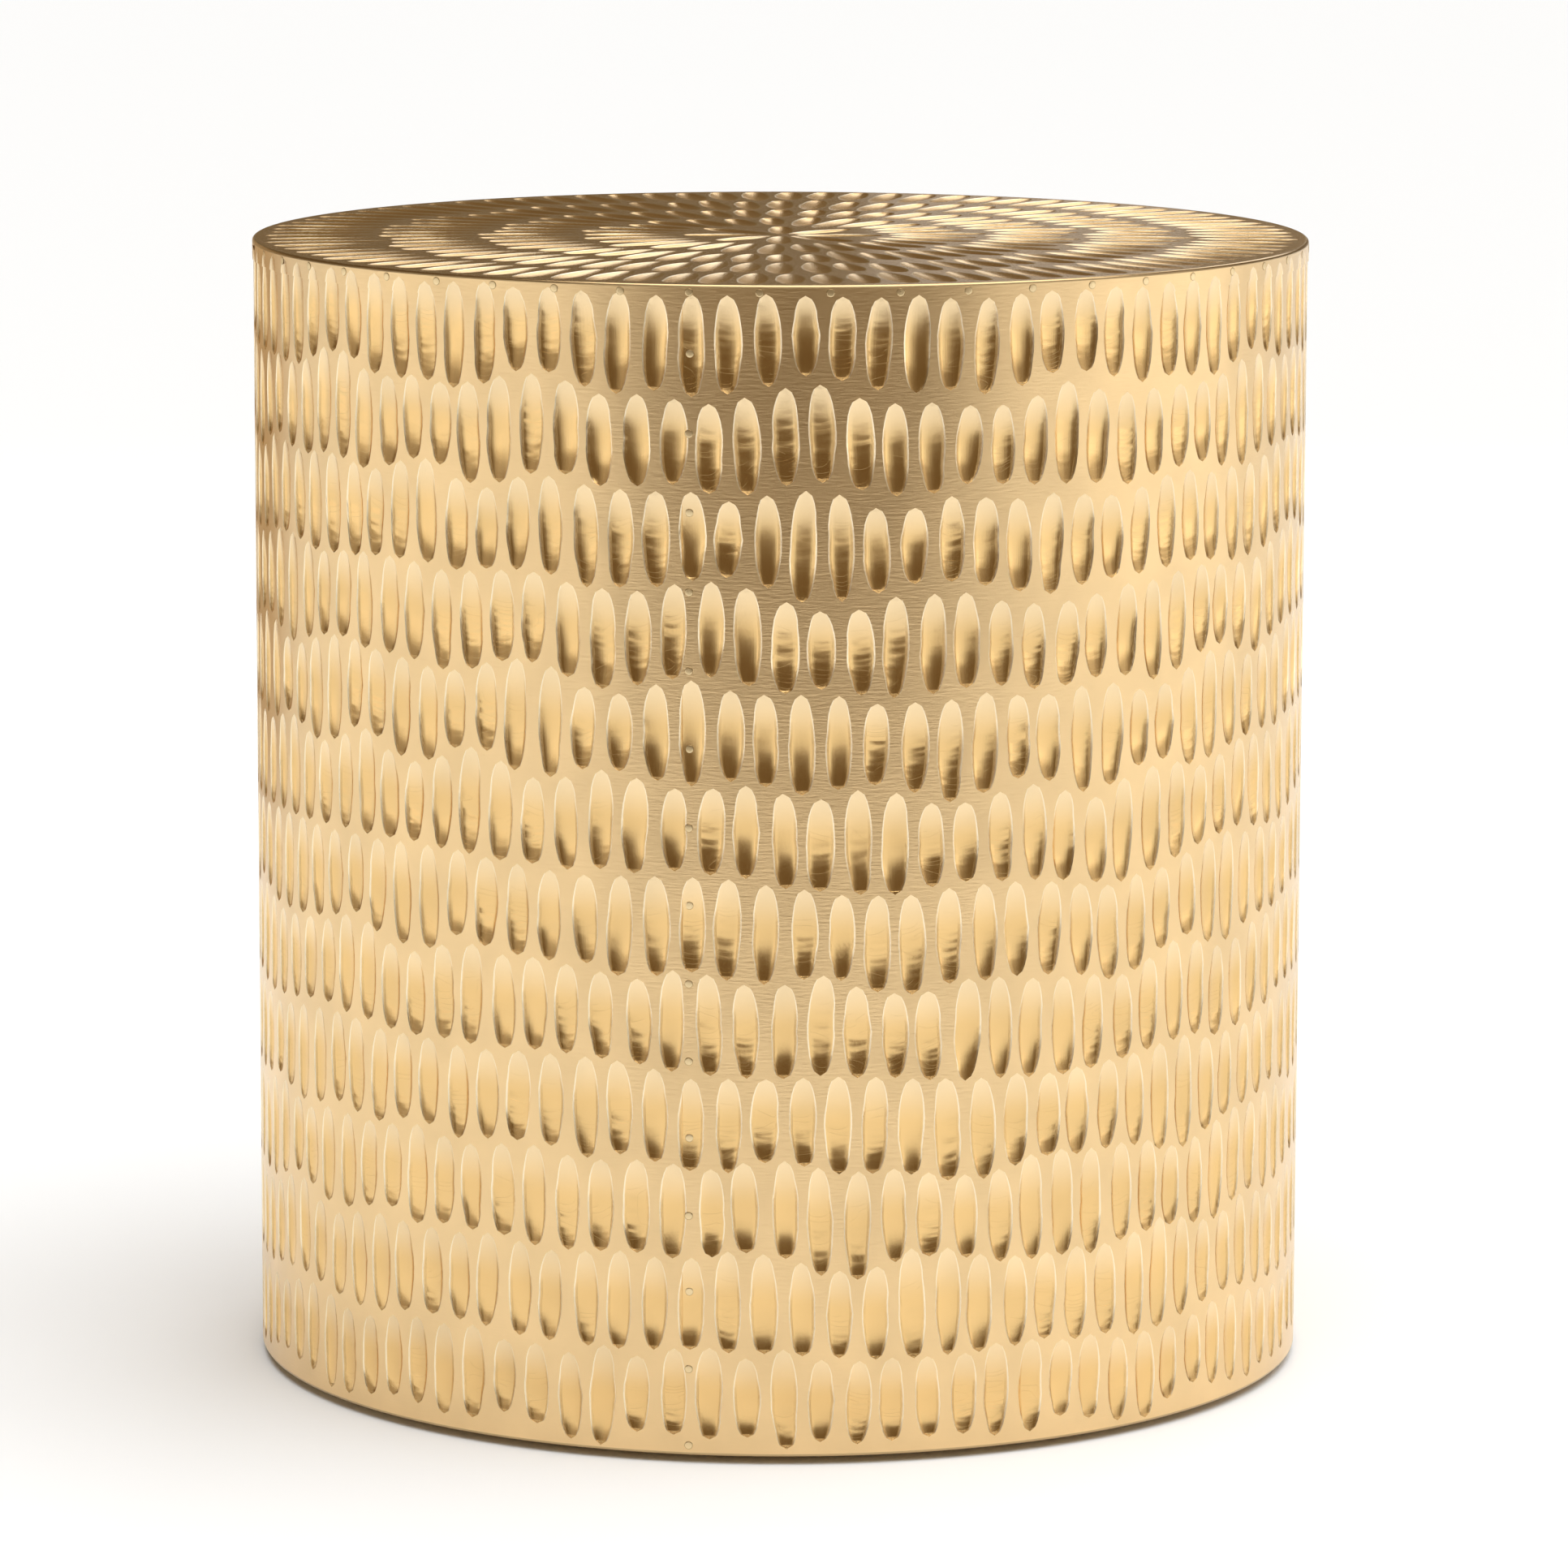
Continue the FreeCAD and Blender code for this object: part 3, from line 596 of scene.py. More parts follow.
def hollow_shape(name, seed, hollows, tip_point, trough):
    """One gouge mark of unit length, width and depth, tip at +Y, with its own ends and its own chatter."""
    rng = random.Random(seed)
    tip_power = tip_point * rng.uniform(*TIP_FACTOR)
    heel_power = rng.uniform(*HEEL_POWER)
    heel_stop = rng.choice(HEEL_STOPS)
    waves = draw_bumps(rng, *CHATTER)
    dents = [draw_bumps(rng, *DENTS) for _ in range(2)]
    bow = rng.uniform(*MARK_BOW)
    rows, across = hollows.cells_along, hollows.cells_across

    bm = bmesh.new()
    local = bm.loops.layers.uv.new("hollow")
    zone = bm.faces.layers.int.new("zone")
    places = {}
    rings = []
    for j in range(rows + 1):
        t = j / rows
        v = EVEN_ROWS * t + (1 - EVEN_ROWS) * (1 - math.cos(math.pi * t)) / 2
        arch = 4 * v * (1 - v)
        chatter = swell(waves, v)
        half = 0.5 * arch ** (0.5 * (tip_power if v < 0.5 else heel_power)) * chatter ** 0.5
        lean = 1 + hollows.heel_lean * (2 * v - 1)
        deep = (arch if v < 0.5 else 1 - (2 * v - 1) ** heel_stop) * lean * chatter
        edges = [half * swell(side, v) for side in dents]
        steps = [0.0] if j in (0, rows) else [2 * k / across - 1 for k in range(across + 1)]
        ring = []
        for step in steps:
            u = math.copysign(abs(step) ** COLUMN_POWER, step)
            x = u * edges[u > 0] + bow * arch
            vert = bm.verts.new((x, 0.5 - v, -deep * (1 - abs(u) ** trough)))
            places[vert] = (0.5 + 0.5 * u, v)
            ring.append(vert)
        rings.append(ring)
    for upper, lower in zip(rings, rings[1:]):
        for k in range(across):
            corners = [upper[min(k, len(upper) - 1)], lower[min(k, len(lower) - 1)],
                       lower[min(k + 1, len(lower) - 1)], upper[min(k + 1, len(upper) - 1)]]
            face = bm.faces.new(list(dict.fromkeys(corners)))
            face.smooth = True
            face[zone] = HOLLOW
            for loop in face.loops:
                loop[local].uv = places[loop.vert]
    return bpy.data.objects.new(name, to_mesh(bm, name))


def hollow_field_tree():
    """Sets a hollow on every point of a mesh and fills the flat ground between them, band by band."""
    tree, given = new_tree("hollow field", (
        ("Middles", "Geometry"), ("Hollow shapes", "Collection"), ("Border", "Object"),
        ("Width", "Float"), ("Depth", "Float"), ("Brass", "Material")))
    add = partial(add_node, tree)
    drawn = {name: add("GeometryNodeInputNamedAttribute", {"Name": name}, data_type=kind)
             for name, kind in DRAWN.items()}
    width = add("ShaderNodeMath", {0: given["Width"], 1: drawn["breadth"]}, operation="MULTIPLY")
    depth = add("ShaderNodeMath", {0: given["Depth"], 1: drawn["sink"]}, operation="MULTIPLY")
    scale = add("ShaderNodeCombineXYZ", {0: width, 1: drawn["reach"], 2: depth})
    rotation = add("ShaderNodeCombineXYZ", {2: drawn["turn"]})
    shapes = add("GeometryNodeCollectionInfo", {"Collection": given["Hollow shapes"],
                                                "Separate Children": True, "Reset Children": True})
    struck = add("GeometryNodeInstanceOnPoints", {
        "Points": given["Middles"], "Instance": shapes, "Pick Instance": True,
        "Instance Index": drawn["shape"], "Rotation": rotation, "Scale": scale})
    bowls = add("GeometryNodeRealizeInstances", {0: struck})

    sides = add("GeometryNodeInputMeshEdgeNeighbors")
    open_edge = add("FunctionNodeCompare", {2: sides, 3: 1}, data_type="INT", operation="EQUAL")
    rims = add("GeometryNodeMeshToCurve", {0: bowls, 1: open_edge})
    border = add("GeometryNodeObjectInfo", {"Object": given["Border"]})
    edge = add("GeometryNodeMeshToCurve", {0: border.outputs["Geometry"]})
    outlines = add("GeometryNodeJoinGeometry", {0: rims})
    fill_inputs(tree, outlines, {0: edge})
    ground = add("GeometryNodeFillCurve", {0: outlines, 1: drawn["band"]})
    flat = add("GeometryNodeStoreNamedAttribute", {"Geometry": ground, "Name": "zone", "Value": FLAT},
               data_type="INT", domain="FACE")
    whole = add("GeometryNodeJoinGeometry", {0: flat})
    fill_inputs(tree, whole, {0: bowls})
    welded = add("GeometryNodeMergeByDistance", {0: whole, "Distance": FIELD_WELD})
    spot = add("GeometryNodeInputPosition")
    kept = add("GeometryNodeStoreNamedAttribute", {"Geometry": welded, "Name": "unrolled", "Value": spot},
               data_type="FLOAT_VECTOR", domain="POINT")
    clad = add("GeometryNodeSetMaterial", {0: kept, "Material": given["Brass"]})
    add("NodeGroupOutput", {0: clad})
    return tree


def border_object(loops):
    """An object whose mesh is closed loops of edges, one for each band."""
    points, edges, bands = [], [], []
    for band, loop in enumerate(loops):
        start = len(points)
        edges += [(start + i, start + (i + 1) % len(loop)) for i in range(len(loop))]
        points += [(x, y, 0) for x, y in loop]
        bands += [band] * len(loop)
    mesh = bpy.data.meshes.new("border")
    mesh.from_pydata(points, edges, [])
    mesh.attributes.new("band", "INT", "POINT").data.foreach_set("value", bands)
    return placed("border", mesh)


def middles_mesh(drawn):
    """One point for each drawn hollow, with what is drawn for it as attributes."""
    mesh = bpy.data.meshes.new("middles")
    mesh.from_pydata([(hollow["x"], hollow["y"], 0) for hollow in drawn], [], [])
    for name, kind in DRAWN.items():
        mesh.attributes.new(name, kind, "POINT").data.foreach_set("value", [hollow[name] for hollow in drawn])
    return mesh


def beat(tree, hollows, drawn, loops, tip_point, trough, depth, brass):
    """A flat sheet with the drawn hollows in it, as far as the loops of its border."""
    shapes = bpy.data.collections.new("hollow shapes")
    for n in range(hollows.shapes):
        seed = hollows.seed * 100 + n
        shapes.objects.link(hollow_shape(f"hollow_{n:02d}", seed, hollows, tip_point, trough))
    border = border_object(loops)
    mesh = run_tree(tree, middles_mesh(drawn), {"Hollow shapes": shapes, "Border": border, "Depth": depth,
                                                "Width": hollows.width, "Brass": brass})
    for spare in [border, *shapes.objects]:
        bpy.data.objects.remove(spare)
    bpy.data.collections.remove(shapes)
    return mesh


def draw_hollow(rng, hollows, x, y, turn, reach, band, loose=1.0):
    """Draws one hollow's stray place, lean, size and shape."""
    return {
        "x": x + rng.uniform(-1, 1) * hollows.jitter * loose,
        "y": y + rng.uniform(-1, 1) * hollows.jitter * loose,
        "turn": turn + rng.uniform(-1, 1) * hollows.tilt * loose,
        "reach": reach * rng.uniform(1 - SHORTER * hollows.spread, 1),
        "breadth": rng.uniform(1 - hollows.spread, 1 + hollows.spread),
        "sink": rng.uniform(1 - SHALLOWER * hollows.spread, 1 + DEEPER * hollows.spread),
        "hollow_seed": rng.random(),
        "shape": rng.randrange(hollows.shapes),
        "band": band,
    }


def side_hollows(hollows, sheets, girth):
    """Rows of hollows on the unrolled side, with two spare columns past each end."""
    rng = random.Random(hollows.seed)
    lines = random.Random(hollows.seed + 2)
    unrest = [[(lines.randint(*UNREST_TURNS), lines.uniform(0, FULL_TURN)) for _ in range(UNREST_WAVES)]
              for _ in range(hollows.rows + 1)]
    pitch = girth / hollows.columns
    high = sheets.table_top - hollows.first_tip
    step = (high - hollows.last_heel) / hollows.rows
    rows = []
    for row in range(hollows.rows):
        down = (row + 0.5) / hollows.rows
        drawn = []
        for column in range(hollows.columns):
            along = (column + STAGGER[row % 2]) * pitch
            bearing = along / girth * FULL_TURN
            sway = hollows.wave * sum(size * math.sin(k * bearing + at) for k, size, at in SWAYS)
            stunted = rng.uniform(STUNTED, 1) if row == hollows.rows - 1 else 1.0
            squeeze = 1 + sway * math.pi / hollows.rows / step * math.cos(math.pi * down)
            tip, heel = (sum(hollows.unrest * math.sin(k * bearing + at) for k, at in unrest[line])
                         for line in (row, row + 1))
            tip *= row > 0
            y = high - down * step * hollows.rows + sway * math.sin(math.pi * down) + (tip + heel) / 2
            reach = step * hollows.fill * squeeze * stunted + tip - heel
            drawn.append(draw_hollow(rng, hollows, along - girth / 2, y, 0.0, reach, row))
        for hollow in drawn:
            half = hollow["reach"] / 2 + sheets.bend + EDGE_CLEAR
            hollow["y"] = min(max(hollow["y"], sheets.side_low + half), sheets.table_top - half)
        before = [{**hollow, "x": hollow["x"] - girth} for hollow in drawn[-2:]]
        after = [{**hollow, "x": hollow["x"] + girth} for hollow in drawn[:2]]
        rows.append(before + drawn + after)
    return rows


def hollow_end(hollow, way):
    """A point just past the tip (way 1) or the heel (way -1) of an upright hollow."""
    far = way * (hollow["reach"] / 2 + BAND_GAP)
    return hollow["x"] - far * math.sin(hollow["turn"]), hollow["y"] + far * math.cos(hollow["turn"])


def band_loops(rows, low, high, columns):
    """Borders of the rows: zigzags that pass under the heels of one row and over the tips of the next."""
    start, end = columns[0], columns[-1]
    lines = [[(x, high) for x in columns]]
    for above, below in zip(rows, rows[1:]):
        ends = [hollow_end(hollow, way) for row, way in ((above, -1), (below, 1)) for hollow in row]
        ends = sorted(point for point in ends if start < point[0] < end)
        lines.append([(start, ends[0][1]), *ends, (end, ends[-1][1])])
    lines.append([(x, low) for x in columns])
    return [upper + lower[::-1] for upper, lower in zip(lines, lines[1:])]


def top_hollows(hollows):
    """Rings of hollows on the top, tips towards the centre and down between the heels of the ring inside."""
    rng = random.Random(hollows.seed + 1)
    drawn, inside = [], [(0.0, hollows.ring_start)]
    for ring in range(hollows.rings):
        border = hollows.ring_start + ring * hollows.ring_step
        middle = border + hollows.ring_step / 2
        round_count = hollows.inner_count if ring == 0 else round(FULL_TURN * middle / hollows.arc_step)
        uneven = RIM_UNEVEN if ring == hollows.rings - 1 else RING_UNEVEN
        heels = []
        for n in range(round_count):
            bearing = FULL_TURN * (n + 0.5 * (ring % 2)) / round_count
            near = sorted((abs(math.remainder(bearing - at, FULL_TURN)), heel) for at, heel in inside)[:2]
            between = min(1.0, near[0][0] * len(inside) / math.pi) if ring else 0.0
            tip = max(heel for _, heel in near) + hollows.ring_gap - hollows.ring_dip * between ** 2
            heel = border + hollows.ring_step - rng.uniform(0, uneven) * hollows.ring_dip
            heels.append((bearing, heel))
            at = (tip + heel) / 2
            drawn.append(draw_hollow(rng, hollows, at * math.cos(bearing), at * math.sin(bearing),
                                     bearing + math.pi / 2, heel - tip, 0, TOP_LOOSE))
            drawn[-1]["breadth"] *= hollows.top_width / hollows.width * min(1.0, at / middle)
        inside = heels
    return drawn


def cut_away(bm, point, normal):
    """Cuts a flat sheet along a line and drops what lies on the side that the normal points to."""
    everything = [*bm.verts, *bm.edges, *bm.faces]
    bmesh.ops.bisect_plane(bm, geom=everything, dist=CUT, plane_co=point, plane_no=normal, clear_outer=True)


def on_drum(sheets, x, radius, height):
    """Where a place along the girth lies at a radius and a height."""
    at = sheets.seam + x / sheets.side_radius
    return Vector((radius * math.cos(at), radius * math.sin(at), height))


def join_ends(bm, girth):
    """Welds the two ends of an unrolled strip that has been wrapped into a ring."""
    unrolled = bm.verts.layers.float_vector["unrolled"]
    ends = [[v for v in bm.verts if abs(v[unrolled].x - way * girth / 2) < TOUCHING] for way in (-1, 1)]
    moves = {}
    for mine, other in (ends, ends[::-1]):
        heights = [v.co.z for v in other]
        lone = [v for v in mine if min(abs(v.co.z - z) for z in heights) > WELD]
        paired = [v for v in mine if v not in lone]
        for vert in lone:
            moves[vert] = min(paired, key=lambda v: abs(v.co.z - vert.co.z))
    bmesh.ops.weld_verts(bm, targetmap=moves)
    bmesh.ops.remove_doubles(bm, verts=bm.verts, dist=WELD)


def ring_chain(places, girth):
    """Vertices round a ring in order, each with its place along the girth, and the first again at the end."""
    places = [(x - girth if x > girth / 2 - TOUCHING else x, vert) for x, vert in places]
    places.sort(key=lambda entry: entry[0])
    return [*places, (places[0][0] + girth, places[0][1])]


def chain_at(bm, level):
    """Vertices along a level edge of an unrolled sheet, in order, each with its place along it."""
    unrolled = bm.verts.layers.float_vector["unrolled"]
    chain = [(v[unrolled].x, v) for v in bm.verts
             if abs(v[unrolled].y - level) < TOUCHING and v.is_boundary]
    return sorted(chain, key=lambda entry: entry[0])


def stitch(bm, near, far, kind=PLAIN):
    """Joins two chains that run the same way with quads, and triangles where their counts differ."""
    zone = bm.faces.layers.int["zone"]
    i = j = 0
    while i < len(near) - 1 or j < len(far) - 1:
        next_near = near[i + 1][0] if i < len(near) - 1 else math.inf
        next_far = far[j + 1][0] if j < len(far) - 1 else math.inf
        corners = [near[i][1], far[j][1]]
        if next_far <= next_near + TOUCHING:
            j += 1
            corners.append(far[j][1])
        if next_near <= next_far + TOUCHING:
            i += 1
            corners.append(near[i][1])
        corners = list(dict.fromkeys(corners))
        if len(corners) > 2:
            face = bm.faces.new(corners)
            face.smooth = True
            face[zone] = kind


def carry_on(bm, sheets, chain, steps, kind=PLAIN, girth=None):
    """Carries a sheet on from a chain through steps of radius and height, and returns the last chain. With
    a girth, the chains are closed rings."""
    for radius, height in steps:
        copied = [(x, bm.verts.new(on_drum(sheets, x, radius, height)))
                  for x, _ in (chain[:-1] if girth else chain)]
        if girth:
            copied.append((copied[0][0] + girth, copied[0][1]))
        stitch(bm, chain, copied, kind)
        chain = copied
    return chain


def finish_sheet(bm, name, bend_radius, bend_height, brass):
    """Closes a sheet, turns its faces outwards and gives it the true normals of its flats and its bend."""
    bmesh.ops.holes_fill(bm, edges=[e for e in bm.edges if e.is_boundary], sides=0)
    bmesh.ops.recalc_face_normals(bm, faces=bm.faces)
    zone = bm.faces.layers.int["zone"]
    for edge in bm.edges:
        kinds = {face[zone] for face in edge.link_faces}
        folded = edge.calc_face_angle(0.0) > FOLD
        edge.smooth = not (folded or (HOLLOW in kinds and len(kinds) > 1))
    for face in bm.faces:
        face.smooth = True
    mesh = to_mesh(bm, name)
    mesh.materials.append(brass)

    corners = read(mesh.corner_normals, "vector", 3, np.float32)
    kinds = read(mesh.attributes["zone"].data, "value", 1, np.int32)
    loop_kinds = np.repeat(kinds, read(mesh.polygons, "loop_total", 1, np.int32))
    points = read(mesh.vertices, "co", 3, np.float32)
    spots = points[read(mesh.loops, "vertex_index", 1, np.int32)]
    radii = np.hypot(spots[:, 0], spots[:, 1])
    outward = np.zeros_like(spots)
    outward[:, :2] = spots[:, :2] / np.maximum(radii, TINY)[:, None]
    flat = loop_kinds == FLAT
    level = flat & (np.abs(corners[:, 2]) > LEVEL)
    corners[flat] = outward[flat]
    corners[level] = (0, 0, 1)
    bend = loop_kinds == BEND
    lift = outward * (radii - bend_radius)[:, None]
    lift[:, 2] = spots[:, 2] - bend_height
    corners[bend] = lift[bend] / np.linalg.norm(lift[bend], axis=1)[:, None]
    mesh.normals_split_custom_set(corners)
    return placed(name, mesh)


def bend_steps(radius, height, bend, turn, steps=5):
    """Radius and height along a round bend that starts facing outwards and turns by an angle in degrees."""
    for n in range(1, steps + 1):
        at = math.radians(turn * n / steps)
        yield radius + bend * math.cos(at), height + bend * math.sin(at)


class DRUM_OT_beaten_sheets(bpy.types.Operator):
    """Beats the hollows into the top and side sheets and folds their rim, lip and hem"""
    bl_idname = "drum.beaten_sheets"
    bl_label = "Beaten sheets"

    def execute(self, context):
        sheets, hollows = context.scene.drum_sheets, context.scene.drum_hollows
        brass = beaten_brass(context.scene.drum_colours)
        tree = hollow_field_tree()
        girth = FULL_TURN * sheets.side_radius
        degree = girth / 360
        low, high = sheets.side_low + sheets.bend, sheets.table_top - sheets.bend
        spare = math.ceil(1.5 * girth / hollows.columns / degree)
        columns = [degree * n for n in range(-180 - spare, 181 + spare)]
        rows = side_hollows(hollows, sheets, girth)
        reach = columns[-1] - hollows.width / 2 - hollows.jitter
        drawn = [hollow for row in rows for hollow in row if abs(hollow["x"]) < reach]
        self.panel = beat(tree, hollows, drawn, band_loops(rows, low, high, columns), hollows.side_tip,
                          hollows.side_trough, hollows.depth, brass)

        left, right, up = Vector((-1, 0, 0)), Vector((1, 0, 0)), Vector((0, 1, 0))
        middle, edge = Vector((0, 0, 0)), Vector((girth / 2, 0, 0))
        lip_line = Vector((0, sheets.lip_low, 0))
        self.side("beaten_side_left", "side_sheet_left", sheets, brass, low,
                  ((lip_line, up), (middle, right), (-edge, left)), raised=False)
        self.side("beaten_side_right", "side_sheet_right", sheets, brass, low,
                  ((lip_line, up), (middle, left), (edge, right)), raised=True)
        self.top("beaten_top", sheets, hollows, brass, tree, girth, high,
                 ((lip_line, -up), (-edge, left), (edge, right)))
        bpy.data.meshes.remove(self.panel)
        return {"FINISHED"}

    def cut_panel(self, cuts):
        """A piece of the unrolled side."""
        bm = bmesh.new()
        bm.from_mesh(self.panel)
        for point, normal in cuts:
            cut_away(bm, point, normal)
        return bm

    def side(self, name, node, sheets, brass, low, cuts, raised):
        """One half sheet, from the lip's edge down to the folded hem. A raised one laps over at the front."""
        bm = self.cut_panel(cuts)
        unrolled = bm.verts.layers.float_vector["unrolled"]
        for vert in bm.verts:
            flat = vert[unrolled]
            rise = sheets.lap_rise * max(0.0, 1 - flat.x / sheets.lap_ease) if raised else 0.0
            vert.co = on_drum(sheets, flat.x, sheets.side_radius + flat.z + rise, flat.y)
        bottom, upper = chain_at(bm, low), chain_at(bm, sheets.lip_low)
        bend_radius = sheets.side_radius - sheets.bend
        ring = carry_on(bm, sheets, bottom, bend_steps(bend_radius, low, sheets.bend, -90), BEND)
        back = sheets.side_radius - sheets.backing
        under_lip = back + UNDER_LIP
        hem_inner = sheets.side_radius - sheets.hem_width
        hem_top = sheets.side_low + sheets.thickness
        ring = carry_on(bm, sheets, ring, (
            (hem_inner, sheets.side_low), (hem_inner, hem_top), (back, hem_top), (back, sheets.side_high),
            (under_lip, sheets.side_high), (under_lip, sheets.lip_low - LIP_GAP)))
        stitch(bm, ring, upper)
        piece = finish_sheet(bm, name, bend_radius, low, brass)
        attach(piece, "root")
        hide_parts(node)

    def top(self, name, sheets, hollows, brass, tree, girth, high, cuts):
        """The round top with its rim and its turned-down lip."""
        disc_radius = sheets.rim_radius - sheets.bend
        circle = [FULL_TURN * n / 360 + sheets.seam for n in range(360)]
        outline = [(disc_radius * math.cos(at), disc_radius * math.sin(at)) for at in circle]
        disc = beat(tree, hollows, top_hollows(hollows), [outline], hollows.top_tip, hollows.top_trough,
                    hollows.top_depth, brass)
        disc.transform(Matrix.Translation((0, 0, sheets.table_top)))

        bm = self.cut_panel(cuts)
        unrolled = bm.verts.layers.float_vector["unrolled"]
        for vert in bm.verts:
            flat = vert[unrolled]
            vert.co = on_drum(sheets, flat.x, sheets.rim_radius + flat.z, flat.y)
        join_ends(bm, girth)
        lip_edge, lip_top = (ring_chain(chain_at(bm, level), girth) for level in (sheets.lip_low, high))
        known = set(bm.verts)
        bm.from_mesh(disc)
        bpy.data.meshes.remove(disc)
        rim = [v for v in bm.verts if v not in known and v.co.xy.length > disc_radius - NEAR_RIM]
        rim_chain = ring_chain([(math.remainder(math.atan2(v.co.y, v.co.x) - sheets.seam, FULL_TURN)
                                 * sheets.side_radius, v) for v in rim], girth)

        *steps, _ = bend_steps(disc_radius, high, sheets.bend, 90)
        stitch(bm, carry_on(bm, sheets, lip_top, steps, BEND, girth), rim_chain, BEND)
        back = sheets.rim_radius - sheets.backing + TOP_LIFT
        under = sheets.table_top - sheets.backing + TOP_LIFT
        carry_on(bm, sheets, lip_edge, ((back, sheets.lip_low), (back, under), (back / 2, under)),
                 girth=girth)
        piece = finish_sheet(bm, name, disc_radius, high, brass)
        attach(piece, "root")
        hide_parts("top_sheet")


# Pins

def pin_shape(pins):
    """A brass pin along +Z: a low struck head with a rounded edge on a short shank."""
    radius, rise = pins.head_radius, pins.head_rise
    profile = [(across * radius, up * rise) for across, up in PIN_HEAD]
    profile += [(pins.shank_radius, SHANK_START * rise), (pins.shank_radius, -pins.shank_length)]
    bm = bmesh.new()
    joint = bm.verts.layers.float.new("joint")
    crown = bm.verts.new((0, 0, rise))
    bearings = [FULL_TURN * n / PIN_SIDES for n in range(PIN_SIDES)]
    rings = [[bm.verts.new((r * math.cos(at), r * math.sin(at), z)) for at in bearings] for r, z in profile]
    for n in range(PIN_SIDES):
        after = (n + 1) % PIN_SIDES
        bm.faces.new((crown, rings[0][n], rings[0][after]))
        for upper, lower in zip(rings, rings[1:]):
            bm.faces.new((upper[n], lower[n], lower[after], upper[after]))
    bm.faces.new(rings[-1][::-1])
    # The painted shade covers the head's edge and everything below it
    for vert in sum(rings[2:], []):
        vert[joint] = 1.0
    for face in bm.faces:
        face.smooth = True
    return placed("pin", to_mesh(bm, "pin"))


def pin_tree():
    """Drives a pin from every point straight towards the drum's axis, to sit on the sheet that it meets."""
    tree, given = new_tree("pins", (("Points", "Geometry"), ("Sheet", "Object"), ("Pin", "Object"),
                                    ("Reach", "Float"), ("Brass", "Material")))
    add = partial(add_node, tree)
    sheet = add("GeometryNodeObjectInfo", {"Object": given["Sheet"]})
    spot = add("GeometryNodeInputPosition")
    inward = add("ShaderNodeVectorMath", {0: spot, 1: (-1, -1, 0)}, operation="MULTIPLY")
    ray = add("GeometryNodeRaycast", {"Target Geometry": sheet.outputs["Geometry"], "Ray Direction": inward,
                                      "Ray Length": given["Reach"]})
    facing = add("FunctionNodeAlignRotationToVector", {"Vector": ray.outputs["Hit Normal"]}, axis="Z")
    aimed = add("GeometryNodeCaptureAttribute", {"Geometry": given["Points"]})
    aimed.capture_items.new("ROTATION", "Facing")
    fill_inputs(tree, aimed, {"Facing": facing})
    seated = add("GeometryNodeSetPosition", {"Geometry": aimed, "Position": ray.outputs["Hit Position"]})
    shape = add("GeometryNodeObjectInfo", {"Object": given["Pin"]})
    driven = add("GeometryNodeInstanceOnPoints", {"Points": seated, "Instance": shape.outputs["Geometry"],
                                                  "Rotation": aimed.outputs["Facing"]})
    real = add("GeometryNodeRealizeInstances", {0: driven})
    clad = add("GeometryNodeSetMaterial", {0: real, "Material": given["Brass"]})
    add("NodeGroupOutput", {0: clad})
    return tree


class DRUM_OT_pins(bpy.types.Operator):
    """Pins the lip round the rim and the laps down both seams"""
    bl_idname = "drum.pins"
    bl_label = "Pins"

    def execute(self, context):
        sheets, pins = context.scene.drum_sheets, context.scene.drum_pins
        inset = pins.seam_inset / sheets.side_radius
        heights = np.linspace(pins.seam_low, pins.seam_high, pins.seam_count)
        rim = [(sheets.seam + inset + FULL_TURN * n / pins.rim_count, sheets.table_top - pins.rim_drop)
               for n in range(pins.rim_count)]
        front = [(sheets.seam + inset, height) for height in heights]
        back = [(sheets.seam + math.pi + inset, height) for height in heights]
        brass = pin_brass(context.scene.drum_colours)
        shape, tree = pin_shape(pins), pin_tree()
        out = sheets.rim_radius + PIN_START
        for name, node, sheet, spots in (
                ("rim_pin_heads", "rim_pins", "beaten_top", rim),
                ("front_seam_pin_heads", "front_seam_pins", "beaten_side_right", front),
                ("back_seam_pin_heads", "back_seam_pins", "beaten_side_left", back)):
            points = bpy.data.meshes.new(name)
            points.from_pydata([(out * math.cos(at), out * math.sin(at), height) for at, height in spots],
                               [], [])
            mesh = run_tree(tree, points, {"Sheet": bpy.data.objects[sheet], "Pin": shape,
                                           "Reach": 2 * PIN_START, "Brass": brass})
            piece = placed(name, mesh)
            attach(piece, "root")
            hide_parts(node)
        bpy.data.objects.remove(shape)
        for slot in frame["nodes"]["hem_pins"].material_slots:
            slot.material = brass
        return {"FINISHED"}


# Carcass

def turned(name, profile, start, sweep, steps, material):
    """A piece turned about the drum's axis from a closed outline of radius and height."""
    bm = bmesh.new()
    whole = abs(sweep - FULL_TURN) < TOUCHING
    bearings = [start + sweep * n / steps for n in range(steps if whole else steps + 1)]
    rings = [[bm.verts.new((r * math.cos(at), r * math.sin(at), z)) for r, z in profile] for at in bearings]
    size = len(profile)
    for n in range(len(rings) if whole else len(rings) - 1):
        near, far = rings[n], rings[(n + 1) % len(rings)]
        for k in range(size):
            bm.faces.new((near[k], far[k], far[(k + 1) % size], near[(k + 1) % size]))
    if not whole:
        bm.faces.new(rings[0])
        bm.faces.new(rings[-1])
    bmesh.ops.remove_doubles(bm, verts=bm.verts, dist=TOUCHING)
    bmesh.ops.recalc_face_normals(bm, faces=bm.faces)
    mesh = to_mesh(bm, name)
    mesh.materials.append(material)
    return placed(name, mesh)


